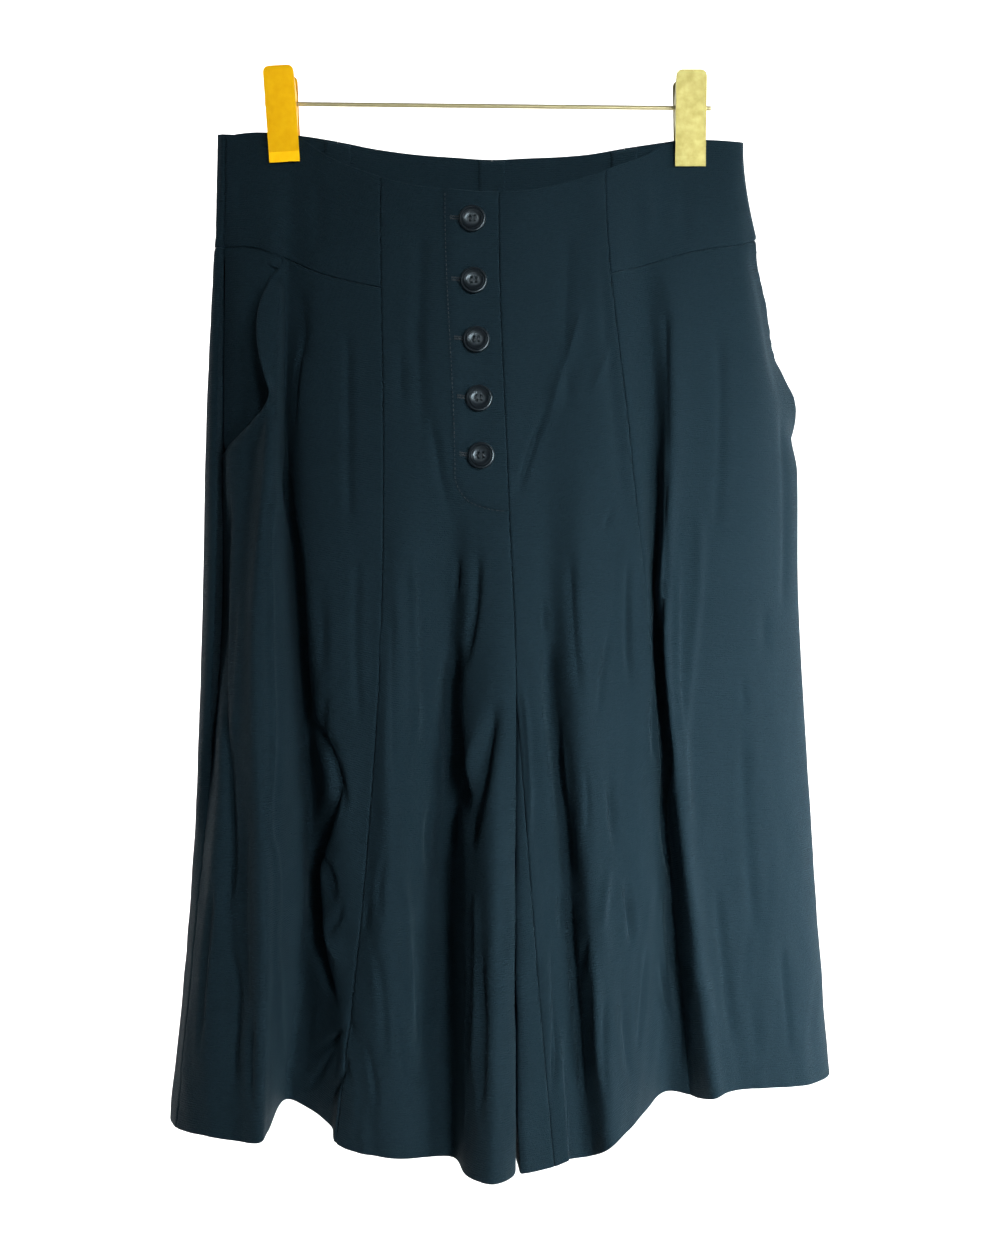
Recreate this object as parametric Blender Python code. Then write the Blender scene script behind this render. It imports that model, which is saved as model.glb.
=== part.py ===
"""Culottes hanging from two clips on a thin rod, built from the pieces they are cut from.

X runs to the right as seen from the front, Y to the back and Z up.  The origin is the middle of
the rod.  Sizes are in millimetres until a mesh is made.  Left and right are as seen from the front.

The cloth is described by fold lines that run from the waist to the hem, along its ridges, valleys
and seams.  A horizontal ring is a smooth curve through the fold lines, and a panel is the stretch
of cloth from one seam line to another.
"""
import math
from functools import lru_cache
from typing import NamedTuple

import bpy
import numpy as np
from mathutils import Matrix, Vector

MM = 0.001

# Cloth
WALL = 1.4                # thickness of one layer
GAP = 0.3                 # room between two pieces
STEPS = 2                 # mesh columns between two fold lines
SMALL = 0.01              # step in place and level over which the cloth's directions are taken
SHARP_EDGE = 40.0         # degrees

# Levels of the garment, as shares of the way from the waist to the hem
LEVELS = (0.0, 0.30, 0.50, 0.76, 1.0)           # waist, hip, fork, knee, hem
FORK = LEVELS[2]
YOKE = 0.115
YOKE_ROWS = (0.0, 0.04, 0.08, YOKE)
HIP_ROWS = (YOKE, 0.14, 0.165, 0.19, 0.215, 0.24, 0.2575, 0.275, 0.29, 0.3025, 0.315, 0.335, 0.38,
            0.42, 0.46)
LEG_ROWS = (FORK, 0.55, 0.60, 0.66, 0.72, 0.78, 0.84, 0.90, 0.95, 1.0)

# Legs: where their inner sides rest on each other, at fork, knee and hem.  The contact runs from
# a place near the front to the back, and further left the further back it is.
LEG_PLANE = (24.0, 25.0, 27.2)
LEG_PLANE_DEPTH = -45.0
LEG_PLANE_LEAN = (0.0, 0.09, 0.12)
LEG_CLEARANCE = 0.9       # from that plane to the middle of each leg's cloth

# Pockets
POCKET_END = 0.42         # level of the bag's lower edge
CROWDING = 12.0           # closer than this to the mouth, fold lines draw together
CROWDED_EDGE = (4.0, 9.0)
CROWDED_SHARE = 0.55      # where a crowded ridge edge lies, from the mouth to the valley

# Fly
FLY_CORNER = 0.30         # level where the stitched band begins to round off
FLY_END = 0.3335
FLY_CURVE = (0, 23, 44, 62, 79)                 # degrees round the band's lower end
FLY_BAND = 1.1            # thickness of the band on the left front
UNDERLAP_WALL = 1.2

# Buttons
BUTTON_LEVELS = (0.030, 0.095, 0.157, 0.218, 0.277)
BUTTON_PLACE = 0.70       # between the leg's flank line and its ridge line
BUTTON_FOOT = 0.6         # reach of a button's back to either side, in fold lines
BUTTON_PROFILE = ((4.6, 2.0), (6.2, 3.0), (7.0, 1.9), (7.9, 2.7), (9.0, 1.6), (8.2, 0.0))
BUTTON_SIDES = 16
BUTTON_HOLE_RADIUS = 1.0
BUTTON_HOLE_OFFSET = 1.7
BUTTON_HOLE_HEIGHTS = (5.0, -2.0)
BUTTON_HOLE_SIDES = 6

# Hanger
ROD_RADIUS = 1.5
ROD_ENDS = (-151.6, 153.5)
ROD_SIDES = 12
CLIP_WIDTH = 20.8
CLIP_PLATE = 1.2
CLIP_TOP = 22.5
CLIP_CORNER = 4.0
CLIP_HOLE = 2.5           # radius, loose enough for the clip to lean on the rod
SLEEVE_RADII = (ROD_RADIUS + 0.4, 3.2)
SLEEVE_SIDES = 16
CLIPS = {"left": (-140.0, 3.9), "right": (139.0, 0.6)}      # place on the rod, lean in degrees

# A jaw's plate and its flange seen from the side: distance from the rod's plane, and height
JAW_PROFILE = ((12.6, CLIP_TOP), (12.2, 20.0), (5.2, -30.0), (4.6, -34.0), (4.6, -41.0))
FLANGE_PROFILE = ((11.9, 18.0), (-4.0, 4.5), (-4.0, -4.5), (5.4, -24.0))


class Fold(NamedTuple):
    """A line from the waist to the hem: heights of its waist, yoke seam and hem, and its places."""

    waist: float
    yoke: float
    hem: float
    across: tuple
    depth: tuple


class BackFold(NamedTuple):
    """A fold line of the back, which spreads evenly from its place at the waist to the hem."""

    waist: float
    hem: float
    across: tuple
    depth: tuple


class InnerFold(NamedTuple):
    """A fold line inside a leg, from the fork to the hem."""

    fork: float
    hem: float
    across: tuple
    depth: tuple


# Across and depth are given at waist, hip, fork, knee and hem.
FRONT_FOLDS = {
    "side_seam_left": Fold(-23, -99, -697, (-178, -179, -178, -189, -202), (-2.2, 3, 4, -10, -16)),
    "hip_left": Fold(-21, -99, -696, (-168, -171, -170, -177, -181), (-1.8, -14, -18, -28, -36)),
    "pocket_left": Fold(-20, -100, -698, (-159, -153, -154, -165, -159), (-1.6, -19, -18, -17, -34)),
    "ridge_left": Fold(-20, -104, -691, (-146, -143, -149, -141, -139), (-1.6, -32, -42, -50, -52)),
    "ridge_edge_left": Fold(-20, -105, -687, (-141, -139, -142, -135, -135), (-1.6, -26, -32, -38, -34)),
    "valley_left": Fold(-20.5, -107, -693, (-133, -134, -131, -120, -128), (-1.6, -1, 4, 14, 14)),
    "middle_left": Fold(-38, -118, -697, (-106, -121, -117, -106, -109), (-8, -16, -12, -6, 4)),
    "princess_left": Fold(-53, -129, -705, (-71, -66, -67, -78, -94), (-16, -30, -28, -20, -14)),
    "soft_ridge_left": Fold(-59, -133, -710, (-49, -48, -56, -58, -54), (-19, -33, -38, -42, -38)),
    "band_edge": Fold(-62, -136, -710, (-28, -19, -20, -22, -18), (-21, -34, -28, -10, -24)),
    "leg_flank": Fold(-63, -137, -712, (-17, -9, -9, -8, -5), (-22, -34, -38, -46, -62)),
    "leg_ridge": Fold(-64, -138, -712, (-5, 4, 9, 7, 9), (-22, -35, -40, -62, -82)),
    "centre_front": Fold(-64, -138, -711, (9, 17, 24, 24, 24), (-22, -36, -44, -44, -44)),
    "front_rise": Fold(-63, -137, -705, (25, 30, 35, 56, 70), (-22, -35, -43, -42, -47)),
    "soft_valley_right": Fold(-60, -134, -704, (41, 44, 47, 67, 81), (-20, -33, -36, -48, -55)),
    "ridge_right": Fold(-53, -128, -692, (65, 73, 80, 86, 96), (-18, -37, -46, -57, -59)),
    "ridge_edge_right": Fold(-51, -125, -676, (72, 82, 93, 104, 112), (-18, -34, -41, -46, -38)),
    "valley_right": Fold(-50, -122, -670, (76, 90, 103, 114, 124), (-18, -30, -26, 0, 10)),
    "princess_right": Fold(-47, -118, -672, (81, 99, 109, 121, 141), (-17, -27, -10, 3, -4)),
    "hollow_right": Fold(-36, -110, -671, (105, 118, 117, 126, 148), (-8, 0, 5, -8, -16)),
    "middle_right": Fold(-25, -105, -667, (124, 126, 123, 131, 158), (-2.2, -24, -26, -31, -30)),
    "hip_right": Fold(-22, -99, -664, (147, 164, 168, 176, 202), (-1.6, -26, -29, -32, -30)),
    "edge_right": Fold(-23, -94, -664, (169, 193, 197, 209, 227), (-2.3, -15, -14, -14, -12)),
    "outline_right": Fold(-23, -89, -662, (175.5, 213, 218, 230, 243), (0, 5, 8, 10, 12)),
    "side_seam_right": Fold(-22, -89, -662, (157, 196, 205, 216, 229), (2.4, 27, 33, 38, 46)),
}

# Across and depth are given at waist and hem.
BACK_SPREAD = (0.0, 0.45, 0.62, 0.80, 1.0)      # share of the spread reached at each level
BACK_FOLDS = {
    "back_ridge_right": BackFold(-20.5, -662, (140, 207), (1.6, 62)),
    "back_valley_right": BackFold(-23, -666, (122, 161), (1.8, 30)),
    "back_princess_right": BackFold(-26.5, -672, (95, 122), (5, 60)),
    "back_fold_right": BackFold(-30, -680, (72, 92), (8, 72)),
    "back_hollow_right": BackFold(-31.5, -686, (52, 66), (10, 38)),
    "back_rise_right": BackFold(-32.5, -693, (28, 50), (11, 64)),
    "centre_back": BackFold(-33.5, -698, (4, 35), (12, 58)),
    "back_rise_left": BackFold(-32.5, -698, (-22, -11), (11, 66)),
    "back_hollow_left": BackFold(-31, -696, (-49, -36), (10, 38)),
    "back_fold_left": BackFold(-28, -694, (-77, -79), (8, 70)),
    "back_princess_left": BackFold(-24, -691, (-102, -116), (5, 58)),
    "back_valley_left": BackFold(-20.5, -689, (-134, -151), (1.6, 38)),
    "back_ridge_left": BackFold(-21, -691, (-165, -189), (1.8, 52)),
}

SIDE_FOLDS = {
    "outline_left": Fold(-21, -99, -696, (-183.4, -190, -192, -197, -210), (0.3, 5, 8, 8, 6)),
    "turn_left": Fold(-22, -99, -697, (-182.4, -183, -183, -193, -206), (-1.4, -8, -9, -4, -7)),
}

# Across and depth are given at fork, knee and hem.
LEFT_LEG_FOLDS = {
    "front_fork_left": InnerFold(-387, -711, (23.1, 20, 22), (-44, -56, -72)),
    "inseam_left": InnerFold(-402, -709, (23.1, 22.8, 25), (-25, -32, -52)),
    "inner_left": InnerFold(-408, -706, (23.1, 18, 17), (-4, -5, -18)),
    "inner_back_left": InnerFold(-400, -703, (23.1, 14, 11), (22, 20, 15)),
    "back_fork_left": InnerFold(-367, -700, (23.1, 11, 8), (42, 44, 54)),
}
RIGHT_LEG_FOLDS = {
    "back_fork_right": InnerFold(-367, -697, (24.9, 27, 30), (42, 44, 50)),
    "inner_back_right": InnerFold(-399, -700, (24.9, 22, 21), (26, 12, 10)),
    "inner_right": InnerFold(-407, -704, (24.9, 24.5, 25), (8, -20, -25)),
    "inner_ridge_right": InnerFold(-407, -711, (24.9, 28, 30), (-8, -50, -62)),
    "inseam_right": InnerFold(-402, -708, (24.9, 38, 52), (-25, -51, -56)),
    "front_fork_right": InnerFold(-387, -705, (24.9, 46, 61), (-44, -48, -54)),
}

# Pocket mouths: the free edge of each side front below the yoke seam.  It starts at a place on
# the seam, counted in fold lines of the body.
MOUTH_LEFT = {
    "start": 4.5,
    "level": (0.115, 0.145, 0.17, 0.20, 0.225, 0.245, 0.263, 0.281, 0.30, 0.315, 0.325),
    "across": (-137, -146, -151, -152.5, -150, -145.5, -142, -149, -161, -173, -179),
    "depth": (-5, -12, -18, -23, -26, -29, -31, -26, -14, -3, 3),
}
MOUTH_RIGHT = {
    "start": 22.75,
    "level": (0.115, 0.138, 0.186, 0.238, 0.259, 0.277, 0.291, 0.314, 0.336, 0.36),
    "across": (184.5, 186.5, 194, 200.5, 207.5, 214, 216.5, 215.5, 210, 201),
    "depth": (-1, 1, 5, 9, 11, 12, 14, 19, 25, 29),
}
MOUTH_CLOSED = {"left": 0.325, "right": 0.36}     # levels where the mouths end at the side seams
MOUTH_REJOIN = 0.27       # level from which the right side front returns to its outline

# Pocket bags: the front fold whose height each line takes, then across and depth at the yoke
# seam, the upper mouth, the lower mouth and the bag's end
POCKET_LEVELS = (YOKE, 0.20, 0.30, POCKET_END)
POCKET_LEFT = {
    "facing_edge": ("hip_left", (-167, -167, -167, -166), (-5.5, -7, -3, 0)),
    "facing": ("pocket_left", (-156, -157, -157, -156), (-7, -8.5, -5, -2)),
    "facing_turn": ("ridge_left", (-146, -147, -148, -146), (-8.5, -6, -2.5, -0.5)),
    "bag_turn": ("valley_left", (-133, -136, -137, -131), (2, 3.2, 3.7, 8)),
    "bag": ("middle_left", (-120, -120, -120, -112), (3.5, 6, 7, 10)),
    "bag_end": ("middle_left", (-107, -106, -106, -98), (4, 7, 8, 11)),
}
POCKET_RIGHT = {
    "bag_end": ("middle_right", (134, 140, 146, 150), (3, 2, -2, 0)),
    "bag": ("hip_right", (148, 154, 160, 162), (1, -1, -6, -4)),
    "bag_turn": ("hip_right", (164, 171, 176, 178), (0, -2, -5, -4)),
    "facing_turn": ("edge_right", (177, 185, 191, 192), (-1.5, 0, 0, 1)),
    "facing": ("edge_right", (182.5, 191, 200, 199), (3, 7, 8, 9)),
    "facing_edge": ("outline_right", (176, 188, 199, 198), (7, 14, 18, 18)),
}
POCKET_TUCK_LEVELS = (0.31, 0.335)
POCKET_TUCK = {"side_seam_left": (5.0, 1.5), "side_seam_right": (-5.0, -5.0)}     # from the seam below
POCKET_ROOM = 0.9         # from the seams round the facing to its edges

FRONT_NAMES = list(FRONT_FOLDS)
BACK_NAMES = list(BACK_FOLDS)
CENTRE_FRONT = FRONT_NAMES.index("centre_front")
CENTRE_BACK = BACK_NAMES.index("centre_back")
RINGS = {
    "body": FRONT_NAMES + BACK_NAMES + list(SIDE_FOLDS),
    "leg_left": (FRONT_NAMES[:CENTRE_FRONT] + list(LEFT_LEG_FOLDS) + BACK_NAMES[CENTRE_BACK + 1:]
                 + list(SIDE_FOLDS)),
    "leg_right": (["front_fork_right"] + FRONT_NAMES[CENTRE_FRONT + 1:] + BACK_NAMES[:CENTRE_BACK]
                  + list(RIGHT_LEG_FOLDS)[:-1]),
}
FORK_TWINS = {
    "centre_front": {"leg_left": "front_fork_left", "leg_right": "front_fork_right"},
    "centre_back": {"leg_left": "back_fork_left", "leg_right": "back_fork_right"},
}


def ease(start, end, value):
    """Smooth step from 0 at start to 1 at end."""
    share = min(max((value - start) / (end - start), 0.0), 1.0)
    return share * share * (3 - 2 * share)


def through(levels, values, level):
    """Smooth value at a level; it starts level where the first level is the waist."""
    steps = np.diff(values) / np.diff(levels)
    first = 0.0 if levels[0] == 0.0 else steps[0]
    slopes = np.concatenate(([first], (steps[:-1] + steps[1:]) / 2, [steps[-1]]))
    i = int(np.clip(np.searchsorted(levels, level, side="right") - 1, 0, len(levels) - 2))
    width = levels[i + 1] - levels[i]
    t = (level - levels[i]) / width
    rise = t * t * (3 - 2 * t)
    lead = t * (1 - t) ** 2 * width * slopes[i]
    trail = t * t * (t - 1) * width * slopes[i + 1]
    return values[i] + (values[i + 1] - values[i]) * rise + lead + trail


def fold_point(name, level):
    """Point of a fold line at a level."""
    if name in FRONT_FOLDS or name in SIDE_FOLDS:
        fold = FRONT_FOLDS.get(name) or SIDE_FOLDS[name]
        height = float(np.interp(level, (0, YOKE, 1), (fold.waist, fold.yoke, fold.hem)))
        return np.array((through(LEVELS, fold.across, level), through(LEVELS, fold.depth, level), height))
    if name in BACK_FOLDS:
        fold = BACK_FOLDS[name]
        spread = through(LEVELS, BACK_SPREAD, level)
        start = np.array((fold.across[0], fold.depth[0]))
        end = np.array((fold.across[1], fold.depth[1]))
        height = fold.waist + (fold.hem - fold.waist) * level
        return np.array((*(start + (end - start) * spread), height))
    fold = LEFT_LEG_FOLDS.get(name) or RIGHT_LEG_FOLDS[name]
    levels = LEVELS[2:]
    height = fold.fork + (fold.hem - fold.fork) * (level - FORK) / (1 - FORK)
    return np.array((through(levels, fold.across, level), through(levels, fold.depth, level), height))


def mouth_point(mouth, level):
    """Across and depth of a pocket mouth's edge at a level."""
    return np.array([np.interp(level, mouth["level"], mouth[key]) for key in ("across", "depth")])


def between(points, place):
    """Point of a ring's smooth curve at a place counted in its points."""
    i = math.floor(place)
    nearby = [points[(i + k) % len(points)] for k in (-1, 0, 1, 2)]
    return smooth_between(*nearby, place - i)


def open_left_mouth(points, level):
    """Draw the side front's outer fold lines in to the edge of the left pocket mouth."""
    closed = points.copy()
    seam, ridge, edge, valley = (closed[i, :2] for i in (0, 3, 4, 5))
    if level == YOKE:
        start = MOUTH_LEFT["start"]
        for i in range(5):
            points[i] = between(closed, start + (5 - start) * i / 5)
    else:
        mouth = mouth_point(MOUTH_LEFT, level)
        near = mouth + (valley - mouth) * CROWDED_SHARE
        points[4, :2] = near + (edge - near) * ease(*CROWDED_EDGE, np.linalg.norm(edge - mouth))
        freedom = ease(0, CROWDING, ridge[0] - mouth[0])
        for i in range(4):
            loose = mouth + (closed[i, :2] - seam) / (ridge - seam) * (ridge - mouth)
            crowded = mouth + (points[4, :2] - mouth) * i / 4
            points[i, :2] = crowded + (loose - crowded) * freedom
        points[:5, 2] = np.interp(points[:5, 0], closed[:6, 0], closed[:6, 2])
    points[-1] = 2 * points[0] - points[1]


def open_right_mouth(points, level):
    """Draw the side front's outer fold lines in to the edge of the right pocket mouth."""
    closed = points.copy()
    seam = FRONT_NAMES.index("side_seam_right")
    if level == YOKE:
        start = MOUTH_RIGHT["start"]
        points[seam - 1] = between(closed, (seam - 2 + start) / 2)
        points[seam] = between(closed, start)
    else:
        points[seam, :2] = mouth_point(MOUTH_RIGHT, level)
        halfway = (closed[seam - 2] + points[seam]) / 2
        rejoined = ease(MOUTH_REJOIN, MOUTH_CLOSED["right"], level)
        points[seam - 1] = halfway + (closed[seam - 1] - halfway) * rejoined
    points[seam + 1] = 2 * points[seam] - points[seam - 1]


@lru_cache(maxsize=None)
def ring_points(ring, level):
    """Points of all the fold lines of a ring at a level."""
    names = RINGS[ring.removesuffix("_open")]
    points = np.array([fold_point(name, level) for name in names])
    if ring.endswith("_open"):
        if level < MOUTH_CLOSED["left"]:
            open_left_mouth(points, level)
        if level < MOUTH_CLOSED["right"]:
            open_right_mouth(points, level)
    return points


def smooth_between(p0, p1, p2, p3, share):
    """Centripetal Catmull-Rom point between p1 and p2."""
    knots = [0.0]
    for a, b in ((p0, p1), (p1, p2), (p2, p3)):
        knots.append(knots[-1] + max(np.linalg.norm(b - a), 1e-6) ** 0.5)
    t = knots[1] + share * (knots[2] - knots[1])

    def mix(a, b, i, j):
        return a + (b - a) * (t - knots[i]) / (knots[j] - knots[i])

    first, second, third = mix(p0, p1, 0, 1), mix(p1, p2, 1, 2), mix(p2, p3, 2, 3)
    return mix(mix(first, second, 0, 2), mix(second, third, 1, 3), 1, 2)


def cloth_point(ring, place, level):
    """Middle of the cloth at a place along a ring, counted in fold lines, and a level."""
    point = between(ring_points(ring, level), place)
    if ring.startswith("leg"):
        lean = through(LEVELS[2:], LEG_PLANE_LEAN, level)
        plane = through(LEVELS[2:], LEG_PLANE, level) - lean * (point[1] - LEG_PLANE_DEPTH)
        if ring == "leg_left":
            point[0] = min(point[0], plane - LEG_CLEARANCE)
        else:
            point[0] = max(point[0], plane + LEG_CLEARANCE)
    return point


def cloth_frame(ring, place, level, lowest=0.0, highest=1.0):
    """Point of the cloth, its outward direction and the directions along and down it."""
    along = cloth_point(ring, place + SMALL, level) - cloth_point(ring, place - SMALL, level)
    above = max(level - SMALL, FORK if ring.startswith("leg") else lowest)
    below = min(level + SMALL, highest)
    down = cloth_point(ring, place, below) - cloth_point(ring, place, above)
    outward = np.cross(down, along)
    return (cloth_point(ring, place, level), outward / np.linalg.norm(outward),
            along / np.linalg.norm(along), down / np.linalg.norm(down))


def make_object(name, vertices, faces, material):
    """Mesh object from points in millimetres."""
    mesh = bpy.data.meshes.new(name)
    mesh.from_pydata([Vector(v) * MM for v in vertices], [], faces)
    mesh.validate()
    mesh.materials.append(material)
    mesh.shade_smooth()
    mesh.set_sharp_from_angle(angle=math.radians(SHARP_EDGE))
    obj = bpy.data.objects.new(name, mesh)
    bpy.context.collection.objects.link(obj)
    return obj


def make_wall(name, frames, material, inside=-WALL / 2, outside=WALL / 2):
    """Closed wall over a grid of (point, outward) pairs; None leaves the grid open there."""
    vertices, index = [], {}
    for r, row in enumerate(frames):
        for c, frame in enumerate(row):
            if frame is None:
                continue
            for side, offset in (("in", inside), ("out", outside)):
                index[side, r, c] = len(vertices)
                vertices.append(frame[0] + frame[1] * offset)
    faces, edges = [], {}
    for r in range(len(frames) - 1):
        for c in range(len(frames[0]) - 1):
            corners = [(r, c), (r + 1, c), (r + 1, c + 1), (r, c + 1)]
            if any(frames[i][j] is None for i, j in corners):
                continue
            # Both sides are split along the shorter diagonal, so that the wall keeps its thickness.
            first, second, third, fourth = (frames[i][j][0] for i, j in corners)
            if np.linalg.norm(third - first) < np.linalg.norm(fourth - second):
                triples = ((0, 1, 2), (0, 2, 3))
            else:
                triples = ((1, 2, 3), (1, 3, 0))
            for triple in triples:
                faces.append([index["out", *corners[k]] for k in triple])
                faces.append([index["in", *corners[k]] for k in reversed(triple)])
            for start, end in zip(corners, corners[1:] + corners[:1]):
                if (end, start) in edges:
                    del edges[end, start]
                else:
                    edges[start, end] = True
    for start, end in edges:
        # Facing rims of two pieces are split the same way, so that they stay parallel.
        rim = [index["out", *end], index["out", *start], index["in", *start], index["in", *end]]
        if end > start:
            faces += [[rim[0], rim[1], rim[2]], [rim[0], rim[2], rim[3]]]
        else:
            faces += [[rim[1], rim[2], rim[3]], [rim[1], rim[3], rim[0]]]
    used = sorted({i for face in faces for i in face})
    renumber = {old: new for new, old in enumerate(used)}
    return make_object(name, [vertices[i] for i in used],
                       [[renumber[i] for i in face] for face in faces], material)


def place_of(ring, name):
    """Place of a fold line along a ring; the fork lines stand in for the centre lines on a leg."""
    names = RINGS[ring.removesuffix("_open")]
    return names.index(FORK_TWINS.get(name, {}).get(ring, name))


def span(ring, first, last):
    """Evenly stepped places along a ring from one fold line to another."""
    start = place_of(ring, first)
    end = place_of(ring, last)
    if end <= start:
        end += len(RINGS[ring.removesuffix("_open")])
    return [start + k / STEPS for k in range((end - start) * STEPS + 1)]


def seam_frame(ring, place, level, beside=0, beyond=0, lowest=0.0, highest=1.0):
    """Point and outward direction, moved off a seam beside it (-1, 1) or above or below (-1, 1)."""
    point, outward, along, down = cloth_frame(ring, place, level, lowest, highest)
    return point + along * beside * GAP / 2 + down * beyond * GAP / 2, outward


def edge_side(c, first, last):
    """Direction to move a column off its seam: inward at the first and the last column."""
    return (c == first) - (c == last)


def body_rows(ring, places, levels, top_seam, bottom_seam):
    """Rows of frames for a stretch of cloth above the fork."""
    rows = []
    for level in levels:
        beyond = (top_seam and level == levels[0]) - (bottom_seam and level == levels[-1])
        rows.append([seam_frame(ring, place, level, edge_side(c, 0, len(places) - 1), int(beyond),
                                highest=FORK)
                     for c, place in enumerate(places)])
    return rows


def leg_rows(ring, places):
    """Rows of frames for a stretch of a leg."""
    return [[seam_frame(ring, place, level, edge_side(c, 0, len(places) - 1))
             for c, place in enumerate(places)] for level in LEG_ROWS]


def make_panel(name, leg, first, last, levels, material, body="body", top_seam=False, inseam=None):
    """Panel from waist or yoke to hem.

    Below the fork a centre panel reaches past its centre line to the inseam, so the rows above
    the fork are left open on that side.
    """
    body_places = span(body, first, last)
    leg_first = inseam if inseam and first.startswith("centre") else first
    leg_last = inseam if inseam and last.startswith("centre") else last
    leg_places = span(leg, leg_first, leg_last)
    extra = len(leg_places) - len(body_places)
    before = extra if leg_first == inseam else 0
    upper = [[None] * before + row + [None] * (extra - before)
             for row in body_rows(body, body_places, levels, top_seam, False)]
    return make_wall(name, upper + leg_rows(leg, leg_places), material)


def make_yoke(name, first, last, material):
    """Short panel from the waist to the yoke seam."""
    return make_wall(name, body_rows("body", span("body", first, last), YOKE_ROWS, False, True), material)


def make_pocket(name, table, seam, seam_first, material):
    """Pocket facing and the bag layer that goes on from it behind the side front."""
    inner = 1 if seam_first else -1
    tuck = np.array(POCKET_TUCK[seam])
    levels = [level for level in HIP_ROWS if level < POCKET_END] + [POCKET_END]
    grid = []
    for level in levels:
        side = fold_point(seam, level)
        side[:2] += tuck * ease(*POCKET_TUCK_LEVELS, level)
        lines = [np.array((through(POCKET_LEVELS, across, level), through(POCKET_LEVELS, depth, level),
                           fold_point(height, level)[2])) for height, across, depth in table.values()]
        lines = [side] + lines if seam_first else lines + [side]
        row = [2 * lines[0] - lines[1]] + lines + [2 * lines[-1] - lines[-2]]
        grid.append([smooth_between(*row[i:i + 4], k / STEPS)
                     for i in range(len(row) - 3) for k in range(STEPS)] + [row[-2]])
    grid = np.array(grid)
    along = np.gradient(grid, axis=1)
    down = np.gradient(grid, axis=0)
    outward = np.cross(down, along)
    outward /= np.linalg.norm(outward, axis=2, keepdims=True)
    seam_column = 0 if seam_first else -1
    toward = along[:, seam_column] * inner
    grid[:, seam_column] += toward / np.linalg.norm(toward, axis=1, keepdims=True) * POCKET_ROOM
    grid[0, :, 2] -= POCKET_ROOM
    return make_wall(name, [list(zip(*row)) for row in zip(grid, outward)], material)


def make_fly_band(material):
    """Stitched band on the left front, from its outer fold line to the centre front, J-shaped below."""
    first = place_of("body", "band_edge")
    last = place_of("body", "centre_front")
    straight = [level for level in YOKE_ROWS + HIP_ROWS[1:] if level < FLY_CORNER - 0.01]
    curved = [FLY_CORNER + (FLY_END - FLY_CORNER) * math.sin(math.radians(angle)) for angle in FLY_CURVE]
    columns = (last - first) * STEPS
    rows = []
    for level in straight + curved:
        turn = min(max((level - FLY_CORNER) / (FLY_END - FLY_CORNER), 0), 1)
        start = first + (last - first) * (1 - math.sqrt(1 - turn * turn))
        rows.append([seam_frame("body", start + (last - start) * k / columns, level,
                                edge_side(k, -1, columns))
                     for k in range(columns + 1)])
    inside = WALL / 2 + GAP
    return make_wall("fly_placket", rows, material, inside, inside + FLY_BAND)


def make_underlap(material):
    """Strip behind the closure, under both fronts."""
    first = place_of("body", "leg_flank") + 0.5
    last = place_of("body", "front_rise") + 0.5
    count = int((last - first) * STEPS)
    levels = [level for level in YOKE_ROWS + HIP_ROWS[1:] if level < FLY_END] + [FLY_END]
    rows = [[seam_frame("body", first + (last - first) * k / count, level) for k in range(count + 1)]
            for level in levels]
    outside = -WALL / 2 - GAP
    return make_wall("fly_underlap", rows, material, outside - UNDERLAP_WALL, outside)


def circle(radius, sides):
    """Corners of a regular polygon round the origin."""
    angles = [2 * math.pi * k / sides for k in range(sides)]
    return [(radius * math.cos(angle), radius * math.sin(angle)) for angle in angles]


def turned(profile, sides):
    """Vertices and faces of a solid turned round Z from (radius, height) pairs, with flat ends.

    The profile runs from the top down its outer side.
    """
    vertices = [(*pair, height) for radius, height in profile for pair in circle(radius, sides)]
    last = (len(profile) - 1) * sides
    faces = [tuple(range(sides)), tuple(reversed(range(last, last + sides)))]
    for upper in range(0, last, sides):
        for k in range(sides):
            after = (k + 1) % sides
            faces.append((upper + k, upper + sides + k, upper + sides + after, upper + after))
    return vertices, faces


def cut_with(obj, cutters):
    """Replace an object's mesh by the one that is left when the cutters are taken away."""
    for cutter in cutters:
        modifier = obj.modifiers.new("cut", "BOOLEAN")
        modifier.operation = "DIFFERENCE"
        modifier.object = cutter
    finish_mesh(obj, cutters)


def join_with(obj, others):
    """Replace an object's mesh by its union with the others."""
    for other in others:
        modifier = obj.modifiers.new("join", "BOOLEAN")
        modifier.operation = "UNION"
        modifier.object = other
    finish_mesh(obj, others)


def finish_mesh(obj, tools):
    """Keep the evaluated mesh and remove the tools."""
    graph = bpy.context.evaluated_depsgraph_get()
    mesh = bpy.data.meshes.new_from_object(obj.evaluated_get(graph))
    obj.modifiers.clear()
    obj.data = mesh
    for tool in tools:
        bpy.data.objects.remove(tool)


def make_button_mesh(material):
    """Button with a rim, a groove, a dished middle and four thread holes, its back at height 0."""
    button = make_object("button", *turned(BUTTON_PROFILE, BUTTON_SIDES), material)
    hole = [(BUTTON_HOLE_RADIUS, height) for height in BUTTON_HOLE_HEIGHTS]
    vertices, faces = turned(hole, BUTTON_HOLE_SIDES)
    cutters = []
    for angle in (45, 135, 225, 315):
        turn = math.radians(angle)
        centre = Vector((math.cos(turn), math.sin(turn), 0)) * BUTTON_HOLE_OFFSET
        cutters.append(make_object("hole", [Vector(v) + centre for v in vertices], faces, material))
    cut_with(button, cutters)
    mesh = button.data
    bpy.data.objects.remove(button)
    return mesh


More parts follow.
